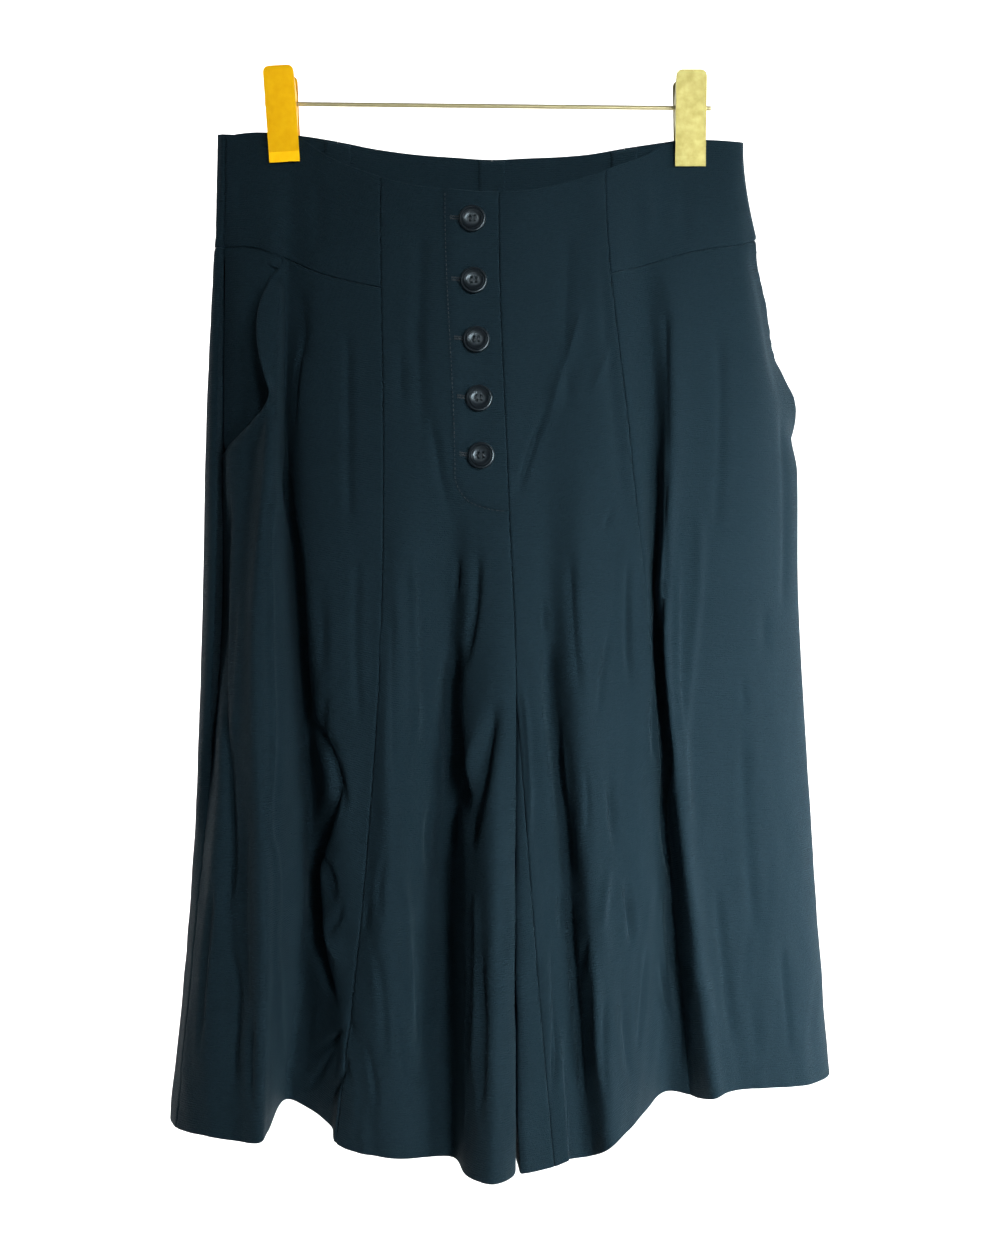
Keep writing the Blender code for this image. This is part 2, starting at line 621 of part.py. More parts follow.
def make_buttons(material):
    """Buttons on the band, each square to the cloth under it."""
    mesh = make_button_mesh(material)
    place = place_of("body", "leg_flank") + BUTTON_PLACE
    lift = WALL / 2 + GAP + FLY_BAND + GAP
    for number, level in enumerate(BUTTON_LEVELS, start=1):
        point, outward, along, down = cloth_frame("body", place, level)
        # The cloth curves under a flat button, so the button stands on its highest point there.
        rise = max(np.dot(cloth_point("body", place + side, level) - point, outward)
                   for side in (-BUTTON_FOOT, 0, BUTTON_FOOT))
        obj = bpy.data.objects.new(f"button_{number}", mesh)
        bpy.context.collection.objects.link(obj)
        sideways = np.cross(-down, outward)
        sideways /= np.linalg.norm(sideways)
        axes = Matrix([sideways, np.cross(outward, sideways), outward]).transposed()
        back = Vector(point + outward * (lift + rise)) * MM
        obj.matrix_world = Matrix.Translation(back) @ axes.to_4x4()


def extruded(outline, low, high, axis):
    """Vertices and faces of an outline pushed along an axis from low to high.

    The outline is wound anticlockwise when seen from the high end.
    """
    def put(pair, height):
        place = list(pair)
        place.insert(axis, height)
        return tuple(place)

    count = len(outline)
    vertices = [put(pair, low) for pair in outline] + [put(pair, high) for pair in outline]
    faces = [tuple(reversed(range(count))), tuple(range(count, 2 * count))]
    for k in range(count):
        after = (k + 1) % count
        faces.append((k, after, count + after, count + k))
    if axis == 1:
        faces = [tuple(reversed(face)) for face in faces]
    return vertices, faces


def rod_mesh(name, radius, low, high, sides, material):
    """Round bar along X through the origin."""
    return make_object(name, *extruded(circle(radius, sides), low, high, 0), material)


def make_plate(name, side, material):
    """Bent sheet-metal plate of a jaw, with round corners at the top; side is -1 for the front."""
    half = CLIP_WIDTH / 2
    turns = [math.radians(angle) for angle in (0, 30, 60, 90)]
    rounds = [(half - CLIP_CORNER * (1 - math.cos(turn)), CLIP_TOP - CLIP_CORNER * (1 - math.sin(turn)))
              for turn in turns]
    levels = sorted({z for _, z in rounds} | {z for _, z in JAW_PROFILE}, reverse=True)
    depths = [p for p, _ in JAW_PROFILE][::-1]
    heights = [z for _, z in JAW_PROFILE][::-1]
    frames = []
    for z in levels:
        width = float(np.interp(z, [h for _, h in rounds], [w for w, _ in rounds]))
        point_y = side * float(np.interp(z, heights, depths))
        frames.append([(np.array((x, point_y, z)), np.array((0.0, -1.0, 0.0)))
                       for x in (-width, 0, width)])
    return make_wall(name, frames, material, -CLIP_PLATE / 2, CLIP_PLATE / 2)


def make_jaw(name, side, flange, material):
    """Jaw of a clip: a plate with two side flanges that turn on the rod."""
    jaw = make_plate(name, side, material)
    flanges = []
    outline = [(side * out, height) for out, height in FLANGE_PROFILE]
    if side < 0:
        outline.reverse()
    for direction in (-1, 1):
        near, far = sorted((direction * flange, direction * (flange - CLIP_PLATE)))
        flanges.append(make_object("flange", *extruded(outline, near, far, 0), material))
    join_with(jaw, flanges)
    cut_with(jaw, [rod_mesh("hole", CLIP_HOLE, -CLIP_WIDTH, CLIP_WIDTH, ROD_SIDES, material)])
    return jaw


def make_sleeve(name, half_length, material):
    """Spring sleeve round the rod between the flanges."""
    inner, outer = SLEEVE_RADII
    sleeve = rod_mesh(name, outer, -half_length, half_length, SLEEVE_SIDES, material)
    cut_with(sleeve, [rod_mesh("bore", inner, -CLIP_WIDTH, CLIP_WIDTH, ROD_SIDES, material)])
    return sleeve


def make_hanger(material):
    """Rod and two spring clips."""
    rod_mesh("hanger_rod", ROD_RADIUS, *ROD_ENDS, ROD_SIDES, material)
    front_flange = CLIP_WIDTH / 2
    back_flange = front_flange - CLIP_PLATE - GAP
    for side, (place, lean) in CLIPS.items():
        on_rod = Matrix.Translation((place * MM, 0, 0))
        leaning = on_rod @ Matrix.Rotation(math.radians(-lean), 4, "Y")
        make_jaw(f"clip_{side}_front_jaw", -1, front_flange, material).matrix_world = leaning
        make_jaw(f"clip_{side}_back_jaw", 1, back_flange, material).matrix_world = leaning
        sleeve = make_sleeve(f"clip_{side}_sleeve", back_flange - CLIP_PLATE - GAP, material)
        sleeve.matrix_world = on_rod


def make_material(name, colour, roughness, metallic=0.0):
    """Plain Principled material."""
    material = bpy.data.materials.new(name)
    material.use_nodes = True
    shader = material.node_tree.nodes["Principled BSDF"]
    shader.inputs["Base Color"].default_value = (*colour, 1.0)
    shader.inputs["Roughness"].default_value = roughness
    shader.inputs["Metallic"].default_value = metallic
    return material


def make_cloth(material):
    """All the sewn pieces."""
    make_yoke("front_yoke_left", "side_seam_left", "princess_left", material)
    make_yoke("front_yoke_right", "princess_right", "side_seam_right", material)
    make_yoke("back_yoke_right", "side_seam_right", "back_princess_right", material)
    make_yoke("back_yoke_left", "back_princess_left", "side_seam_left", material)
    make_panel("side_front_left", "leg_left", "side_seam_left", "princess_left", HIP_ROWS, material,
               body="body_open", top_seam=True)
    make_panel("side_front_right", "leg_right", "princess_right", "side_seam_right", HIP_ROWS, material,
               body="body_open", top_seam=True)
    make_panel("side_back_right", "leg_right", "side_seam_right", "back_princess_right", HIP_ROWS,
               material, top_seam=True)
    make_panel("side_back_left", "leg_left", "back_princess_left", "side_seam_left", HIP_ROWS,
               material, top_seam=True)
    whole = YOKE_ROWS + HIP_ROWS[1:]
    make_panel("front_centre_left", "leg_left", "princess_left", "centre_front", whole, material,
               inseam="inseam_left")
    make_panel("front_centre_right", "leg_right", "centre_front", "princess_right", whole, material,
               inseam="inseam_right")
    make_panel("back_centre_right", "leg_right", "back_princess_right", "centre_back", whole, material,
               inseam="inseam_right")
    make_panel("back_centre_left", "leg_left", "centre_back", "back_princess_left", whole, material,
               inseam="inseam_left")
    make_pocket("pocket_left", POCKET_LEFT, "side_seam_left", True, material)
    make_pocket("pocket_right", POCKET_RIGHT, "side_seam_right", False, material)
    make_fly_band(material)
    make_underlap(material)


for old in list(bpy.data.objects):
    bpy.data.objects.remove(old)
make_cloth(make_material("black crepe", (0.010, 0.018, 0.022), 0.75))
make_buttons(make_material("button resin", (0.006, 0.007, 0.008), 0.15))
make_hanger(make_material("brushed gold", (0.72, 0.50, 0.20), 0.32, 1.0))
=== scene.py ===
"""Looks of a pair of black crepe culottes that hang from two clips on a thin gold rod.

Cloth, thread and buttons are in millimetres until a mesh is made.  Left and right are as seen from
the front.
"""
import math

import bpy
import numpy as np
from mathutils import Matrix, Vector


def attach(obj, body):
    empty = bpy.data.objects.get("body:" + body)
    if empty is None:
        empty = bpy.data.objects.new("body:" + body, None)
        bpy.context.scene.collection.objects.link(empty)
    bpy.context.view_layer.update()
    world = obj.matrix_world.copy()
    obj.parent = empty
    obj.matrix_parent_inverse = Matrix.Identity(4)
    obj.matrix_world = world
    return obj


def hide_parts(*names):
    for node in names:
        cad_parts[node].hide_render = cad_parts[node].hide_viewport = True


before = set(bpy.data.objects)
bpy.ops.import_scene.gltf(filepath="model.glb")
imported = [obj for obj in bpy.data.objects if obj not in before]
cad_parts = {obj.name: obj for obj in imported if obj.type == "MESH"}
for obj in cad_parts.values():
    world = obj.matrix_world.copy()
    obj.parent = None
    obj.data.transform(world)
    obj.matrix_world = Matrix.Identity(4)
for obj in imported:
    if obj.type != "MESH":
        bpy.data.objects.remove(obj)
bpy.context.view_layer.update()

MM = 0.001


# Camera
# The camera stands 1.2 m in front of the cloth, level, opposite its middle, and is turned a little
# about its own axis, so that the rod runs slightly downhill to the right.
CAMERA_PLACE = Vector((0.0129, -1.2, -0.355))
CAMERA_ROLL = 0.6
CAMERA_LENS = 50.5

camera = bpy.data.objects.new("camera", bpy.data.cameras.new("camera"))
camera.data.lens = CAMERA_LENS
camera.data.sensor_width = 36.0
camera.data.clip_start = 0.05
camera.matrix_world = (Matrix.Translation(CAMERA_PLACE) @ Matrix.Rotation(math.radians(90), 4, "X")
                       @ Matrix.Rotation(math.radians(CAMERA_ROLL), 4, "Z"))
bpy.context.collection.objects.link(camera)
bpy.context.scene.camera = camera
bpy.context.scene.view_settings.view_transform = "Standard"


# Studio
# A roll of white paper comes down behind the garment and forward under it, with lights of its own.
# Two softboxes light the cloth from the right front and one from its right side, and a small one
# shines on the left clip.
PAPER_WIDTH = 9.0
PAPER_FRONT = -6.0
PAPER_FLOOR = -1.0
PAPER_WALL = 2.6
PAPER_TOP = 4.0
PAPER_BEND = 1.2
PAPER_STRIPS = 24
PAPER_GLOW = 0.55                               # whitens its shaded parts as seen, and lights nothing
ROOM_GLOW = 0.02                                # light that the far walls give back
ROOM_WHITE = 0.8                                # how white they look
DAYLIGHT = (0.93, 0.97, 1.0)
WHITE = (1.0, 1.0, 1.0)
LIGHTS = {
    # Name: place, size, power, spread in degrees, colour, the point it is aimed at
    "softbox_front": ((0.90, -2.2, 0.0), (0.6, 0.8), 6.9, 36, DAYLIGHT, (0.53, 0.0, -0.50)),
    "softbox_right": ((1.60, -1.8, 0.0), (0.6, 0.8), 4.6, 36, DAYLIGHT, (0.50, 0.0, -0.50)),
    "softbox_side": ((2.4, -0.4, 0.2), (0.7, 1.2), 9, 180, DAYLIGHT, (0.1, 0.0, -0.35)),
    "floor_light_left": ((-3.2, -1.0, 1.4), (2.4, 3.0), 14, 90, WHITE, (-3.2, -1.0, -1.0)),
    "floor_light_right": ((3.2, -1.0, 1.4), (2.4, 3.0), 14, 90, WHITE, (3.2, -1.0, -1.0)),
    "floor_light_front": ((0.0, -4.2, 1.4), (5.0, 2.4), 24, 90, WHITE, (0.0, -4.2, -1.0)),
    "gold_card": ((-0.40, -1.95, 0.56), (0.3, 0.3), 0.066, 14, WHITE, (-0.135, 0.0, 0.0)),
    "paper_light_left": ((-2.6, 0.7, 0.6), (0.8, 2.4), 66, 121, WHITE, (-0.4, 2.6, 0.0)),
    "paper_light_right": ((2.6, 0.7, 0.6), (0.8, 2.4), 88, 180, WHITE, (0.4, 2.6, 0.0)),
}


def set_inputs(tree, node, **inputs):
    """Set inputs of a node to values or other nodes' outputs; _ stands for a space."""
    for name, value in inputs.items():
        socket = node.inputs[name.replace("_", " ")]
        if isinstance(value, bpy.types.NodeSocket):
            tree.links.new(value, socket)
        else:
            socket.default_value = value


def add_node(tree, kind, settings=(), **inputs):
    """Shader node with its settings and inputs."""
    node = tree.nodes.new(kind)
    for name, value in dict(settings).items():
        setattr(node, name, value)
    set_inputs(tree, node, **inputs)
    return node


def new_finish(name):
    """Material with its node tree."""
    finish = bpy.data.materials.new(name)
    finish.use_nodes = True
    return finish, finish.node_tree


def shade(tree, **inputs):
    """Set inputs of a material's surface."""
    set_inputs(tree, tree.nodes["Principled BSDF"], **inputs)


def place_on(tree):
    """Place on the object."""
    return add_node(tree, "ShaderNodeTexCoord").outputs["Object"]


def noise(tree, place, scale, detail):
    """Noise of a scale and a detail."""
    return add_node(tree, "ShaderNodeTexNoise", Vector=place, Scale=scale, Detail=detail).outputs["Fac"]


def blend(tree, factor, dark, light):
    """Colour between two, each a colour or another node's output."""
    colours = add_node(tree, "ShaderNodeMix", {"data_type": "RGBA"}, Factor=factor, A=dark, B=light)
    return colours.outputs["Result"]


def bumps(tree, height, distance):
    """Relief of a height in metres."""
    return add_node(tree, "ShaderNodeBump", Height=height, Distance=distance).outputs["Normal"]


def glow_strength(tree, given, seen):
    """Strength of a glow: one for the light that it gives and one for how it looks."""
    camera_ray = add_node(tree, "ShaderNodeLightPath").outputs["Is Camera Ray"]
    choice = add_node(tree, "ShaderNodeMapRange", Value=camera_ray, To_Min=given, To_Max=seen)
    return choice.outputs["Result"]


def paper_finish():
    """Matt white paper with a faint mottle."""
    paper, tree = new_finish("white paper")
    mottle = noise(tree, place_on(tree), 2.0, 2.0)
    shade(tree, Base_Color=blend(tree, mottle, (0.86, 0.86, 0.86, 1), (0.90, 0.90, 0.90, 1)), Roughness=0.9,
          Emission_Strength=glow_strength(tree, 0.0, PAPER_GLOW), Emission_Color=(*WHITE, 1))
    return paper


def make_paper():
    """Floor, bend and wall as one curved sheet."""
    middle_y, middle_z = PAPER_WALL - PAPER_BEND, PAPER_FLOOR + PAPER_BEND
    bend = [(middle_y + PAPER_BEND * math.sin(turn), middle_z - PAPER_BEND * math.cos(turn))
            for turn in np.linspace(0, math.pi / 2, PAPER_STRIPS)]
    profile = [(PAPER_FRONT, PAPER_FLOOR), *bend, (PAPER_WALL, PAPER_TOP)]
    mesh = bpy.data.meshes.new("paper")
    corners = [(side * PAPER_WIDTH / 2, y, z) for y, z in profile for side in (-1, 1)]
    strips = [(2 * k, 2 * k + 1, 2 * k + 3, 2 * k + 2) for k in range(len(profile) - 1)]
    mesh.from_pydata(corners, [], strips)
    mesh.shade_smooth()
    mesh.materials.append(paper_finish())
    paper = bpy.data.objects.new("paper", mesh)
    bpy.context.collection.objects.link(paper)


make_paper()
for name, (place, size, power, spread, colour, aim) in LIGHTS.items():
    light = bpy.data.lights.new(name, "AREA")
    light.shape = "RECTANGLE"
    light.size, light.size_y = size
    light.energy = power
    light.spread = math.radians(spread)
    light.color = colour
    lamp = bpy.data.objects.new(name, light)
    lamp.location = place
    lamp.rotation_euler = (Vector(aim) - Vector(place)).to_track_quat("-Z", "Y").to_euler()
    bpy.context.collection.objects.link(lamp)
room = bpy.data.worlds.new("room")
room.use_nodes = True
set_inputs(room.node_tree, room.node_tree.nodes["Background"], Color=(*WHITE, 1),
           Strength=glow_strength(room.node_tree, ROOM_GLOW, ROOM_WHITE))
bpy.context.scene.world = room


# Front yokes
# Short pieces of crepe between the waist edge and the yoke seam.  All the cloth hangs in folds,
# whose ridges, valleys and seams run from the waist to the hem, and a piece of cloth reaches from
# one seam line to another.  It is one layer, turned in at its seams.
LEVELS = (0.0, 0.30, 0.50, 0.76, 1.0)           # waist, hip, fork, knee, hem
FORK = LEVELS[2]
YOKE = 0.115                                    # the yoke seams
GARMENT_LENGTH = 680.0
LEG_PLANE = (24.0, 25.0, 27.2)                  # between the legs, at the fork, the knee and the hem
LEG_PLANE_DEPTH = -45.0
LEG_PLANE_LEAN = (0.02, 0.09, 0.12)
LEG_CLEARANCE = 0.5
FORK_BLEND = (0.45, 0.50)                       # levels in which the body becomes two legs

# Name: heights at waist, yoke seam and hem, then across and depth at the five levels
FRONT_FOLDS = {
    "side_seam_left": (-23, -99, -697, (-178, -179, -178, -189, -202), (-2.2, 3, 4, -10, -16)),
    "hip_left": (-21, -99, -696, (-168, -171, -171, -177, -181), (-1.8, -14, -20, -28, -36)),
    "pocket_left": (-20, -100, -698, (-159, -153, -159, -165, -160), (-1.6, -19, -28, -28, -40)),
    "ridge_left": (-20, -104, -697, (-146, -143, -150, -142, -141), (-1.6, -32, -40, -46, -48)),
    "ridge_edge_left": (-20, -105, -694, (-141, -139, -140, -135, -138), (-1.6, -26, -31, -34, -34)),
    "valley_left": (-20.5, -107, -685, (-133, -135, -125.5, -116, -130.5), (-1.6, 0, 9, 17, 14)),
    "middle_left": (-38, -118, -697, (-106, -121, -110, -93, -98), (-8, -20, -24, -20, -9)),
    "princess_left": (-53, -129, -705, (-71, -66, -67, -78, -94), (-16, -32, -33, -28, -20)),
    "soft_ridge_left": (-59, -133, -710, (-49, -50, -58, -58, -55), (-19, -34, -37, -38, -36)),
    "band_edge": (-62, -136, -710, (-28, -19, -21, -23, -16), (-21, -34, -15, 6, -31)),
    "leg_flank": (-63, -137, -712, (-17, -9, -8, -5, -5), (-22, -34, -33, -43, -64)),
    "leg_ridge": (-64, -138, -712, (-5, 4, 9, 12, 12), (-22, -35, -44, -66, -82)),
    "centre_front": (-64, -138, -711, (9, 17, 24, 24, 24), (-22, -36, -44, -44, -44)),
    "front_rise": (-63, -137, -705, (25, 30, 37, 51, 62), (-22, -35, -43, -44, -50)),
    "soft_valley_right": (-60, -134, -704, (41, 43, 47, 62, 76), (-20, -34, -39, -40, -46)),
    "ridge_right": (-53, -128, -693, (65, 66, 64, 74, 88), (-18, -37, -52, -61, -65)),
    "ridge_edge_right": (-51, -125, -681, (72, 82, 93, 106, 107), (-18, -35, -40, -44, -43)),
    "valley_right": (-50, -122, -671, (76, 90, 104, 121, 129), (-18, -31, -37, -24, -8)),
    "princess_right": (-47, -118, -672, (81, 99, 113.5, 129, 145), (-17, -30, -29, -16, -12)),
    "hollow_right": (-36, -110, -671, (105, 117, 117, 133.5, 150), (-8, -15, -18, -28, -24)),
    "middle_right": (-25, -105, -667, (124, 123, 120, 138, 159), (-2.2, -31, -40, -43, -40)),
    "hip_right": (-22, -99, -664, (147, 140, 132, 148, 169), (-1.6, -27, -34, -36, -33)),
    "edge_right": (-23, -94, -664, (169, 193, 197, 209, 227), (-2.3, -15, -14, -14, -12)),
    "outline_right": (-23, -89, -662, (175.5, 213, 218, 230, 243), (0, 5, 8, 10, 12)),
    "side_seam_right": (-22, -89, -662, (157, 196, 205, 216, 229), (2.4, 27, 33, 38, 46)),
}
SIDE_FOLDS = {
    "outline_left": (-21, -99, -696, (-183.4, -190, -192, -197, -210), (0.3, 5, 8, 8, 6)),
    "turn_left": (-22, -99, -697, (-182.4, -183, -183, -193, -206), (-1.4, -8, -9, -4, -7)),
}

# Name: heights at waist and hem, then across and depth at waist and hem
BACK_FOLDS = {
    "back_ridge_right": (-20.5, -662, (140, 207), (1.6, 62)),
    "back_valley_right": (-23, -666, (122, 161), (1.8, 30)),
    "back_princess_right": (-26.5, -672, (95, 122), (5, 60)),
    "back_fold_right": (-30, -680, (72, 92), (8, 72)),
    "back_hollow_right": (-31.5, -686, (52, 66), (10, 38)),
    "back_rise_right": (-32.5, -693, (28, 50), (11, 64)),
    "centre_back": (-33.5, -698, (4, 35), (12, 58)),
    "back_rise_left": (-32.5, -698, (-22, -11), (11, 66)),
    "back_hollow_left": (-31, -696, (-49, -36), (10, 38)),
    "back_fold_left": (-28, -694, (-77, -79), (8, 70)),
    "back_princess_left": (-24, -691, (-102, -116), (5, 58)),
    "back_valley_left": (-20.5, -689, (-134, -151), (1.6, 38)),
    "back_ridge_left": (-21, -691, (-165, -189), (1.8, 52)),
}
BACK_SPREAD = (0.0, 0.45, 0.62, 0.80, 1.0)      # how far they have come at the five levels

# Name: heights at fork and hem, then across and depth at fork, knee and hem
LEFT_LEG_FOLDS = {
    "front_fork_left": (-387, -711, (23.7, 23.5, 24.5), (-44, -53, -68)),
    "inseam_left": (-402, -709, (23.7, 23.8, 26), (-25, -32, -52)),
    "inner_left": (-408, -706, (23.7, 18, 17), (-4, -5, -18)),
    "inner_back_left": (-400, -703, (23.7, 14, 11), (22, 20, 15)),
    "back_fork_left": (-367, -700, (23.7, 11, 8), (42, 44, 54)),
}
RIGHT_LEG_FOLDS = {
    "back_fork_right": (-367, -697, (24.3, 27, 30), (42, 44, 50)),
    "inner_back_right": (-399, -700, (24.3, 22, 21), (26, 12, 10)),
    "inner_right": (-407, -704, (24.3, 24.5, 25), (-4, -22, -25)),
    "inner_ridge_right": (-407, -711, (24.3, 26.0, 27.5), (-38, -53, -62)),
    "inseam_right": (-402, -708, (24.3, 38, 52), (-42, -52, -56)),
    "front_fork_right": (-387, -705, (24.3, 46, 61), (-44, -48, -54)),
}
FRONT_NAMES = list(FRONT_FOLDS)
BACK_NAMES = list(BACK_FOLDS)
CENTRE_FRONT = FRONT_NAMES.index("centre_front")
CENTRE_BACK = BACK_NAMES.index("centre_back")
RINGS = {
    "body": FRONT_NAMES + BACK_NAMES + list(SIDE_FOLDS),
    "leg_left": (FRONT_NAMES[:CENTRE_FRONT] + list(LEFT_LEG_FOLDS) + BACK_NAMES[CENTRE_BACK + 1:]
                 + list(SIDE_FOLDS)),
    "leg_right": (["front_fork_right"] + FRONT_NAMES[CENTRE_FRONT + 1:] + BACK_NAMES[:CENTRE_BACK]
                  + list(RIGHT_LEG_FOLDS)[:-1]),
}
FORK_TWINS = {
    "centre_front": {"leg_left": "front_fork_left", "leg_right": "front_fork_right"},
    "centre_back": {"leg_left": "back_fork_left", "leg_right": "back_fork_right"},
}

# The cloth of one shell
HALF_WALL = 0.45                                # half the thickness of the crepe
EDGE_RADIUS = 0.8
EDGE_WALL = 0.3                                 # share of the wall that is left at an edge
BESIDE_SEAM = (0.08, 0.30, 0.75, 1.40, 2.40)    # columns and rows close to an edge
MARGIN = 1.0                                    # how far one more column lies beyond an edge
SPARE = 0.4                                     # places beyond an edge that are measured for it
PLACE_SAMPLES = 20
FRONT_STEP = 2.1                                # size of the mesh's squares
HIDDEN_STEP = 3.2
SEAM_DIP = 0.75                                 # how deep a seam lies
SEAM_FADE = (0.04, 4.0)                         # levels and distance in which one ends at the fork
PUCKER_DEPTH = 0.32
PUCKER_REACH = 5.0
PUCKER_CALM = 0.45                              # share that comes and goes along the seam
HEM_DEPTH = (32.0, 30.0)                        # above the hem, where it starts and is full
HEM_WALL = 0.6                                  # what the turned-up hem adds inside
CREASE_FADE = 30.0                              # length over which a crease comes and goes
CREASE_ENDS = 0.45                              # share of a short crease for each of the two
CREASE_BOTTOM = 0.5                             # how round a crease is at its line
CREASE_REACH = 3                                # half widths that it spreads over
CREASE_FALL = 0.9                               # how fast the swell beside it dies out
RUMPLE = 0.45                                   # how high the broad ripples are at the hem
FINE_RUMPLE = 0.6                               # how high the fine ones are, as a share of that
RUMPLED = (-330, -600)                          # heights between which the ripples set in
SIDES = ("left", "right", "top", "bottom")
FRONT_CLIPS = ["clip_left_front_jaw", "clip_right_front_jaw"]
BACK_CLIPS = ["clip_left_back_jaw", "clip_right_back_jaw"]

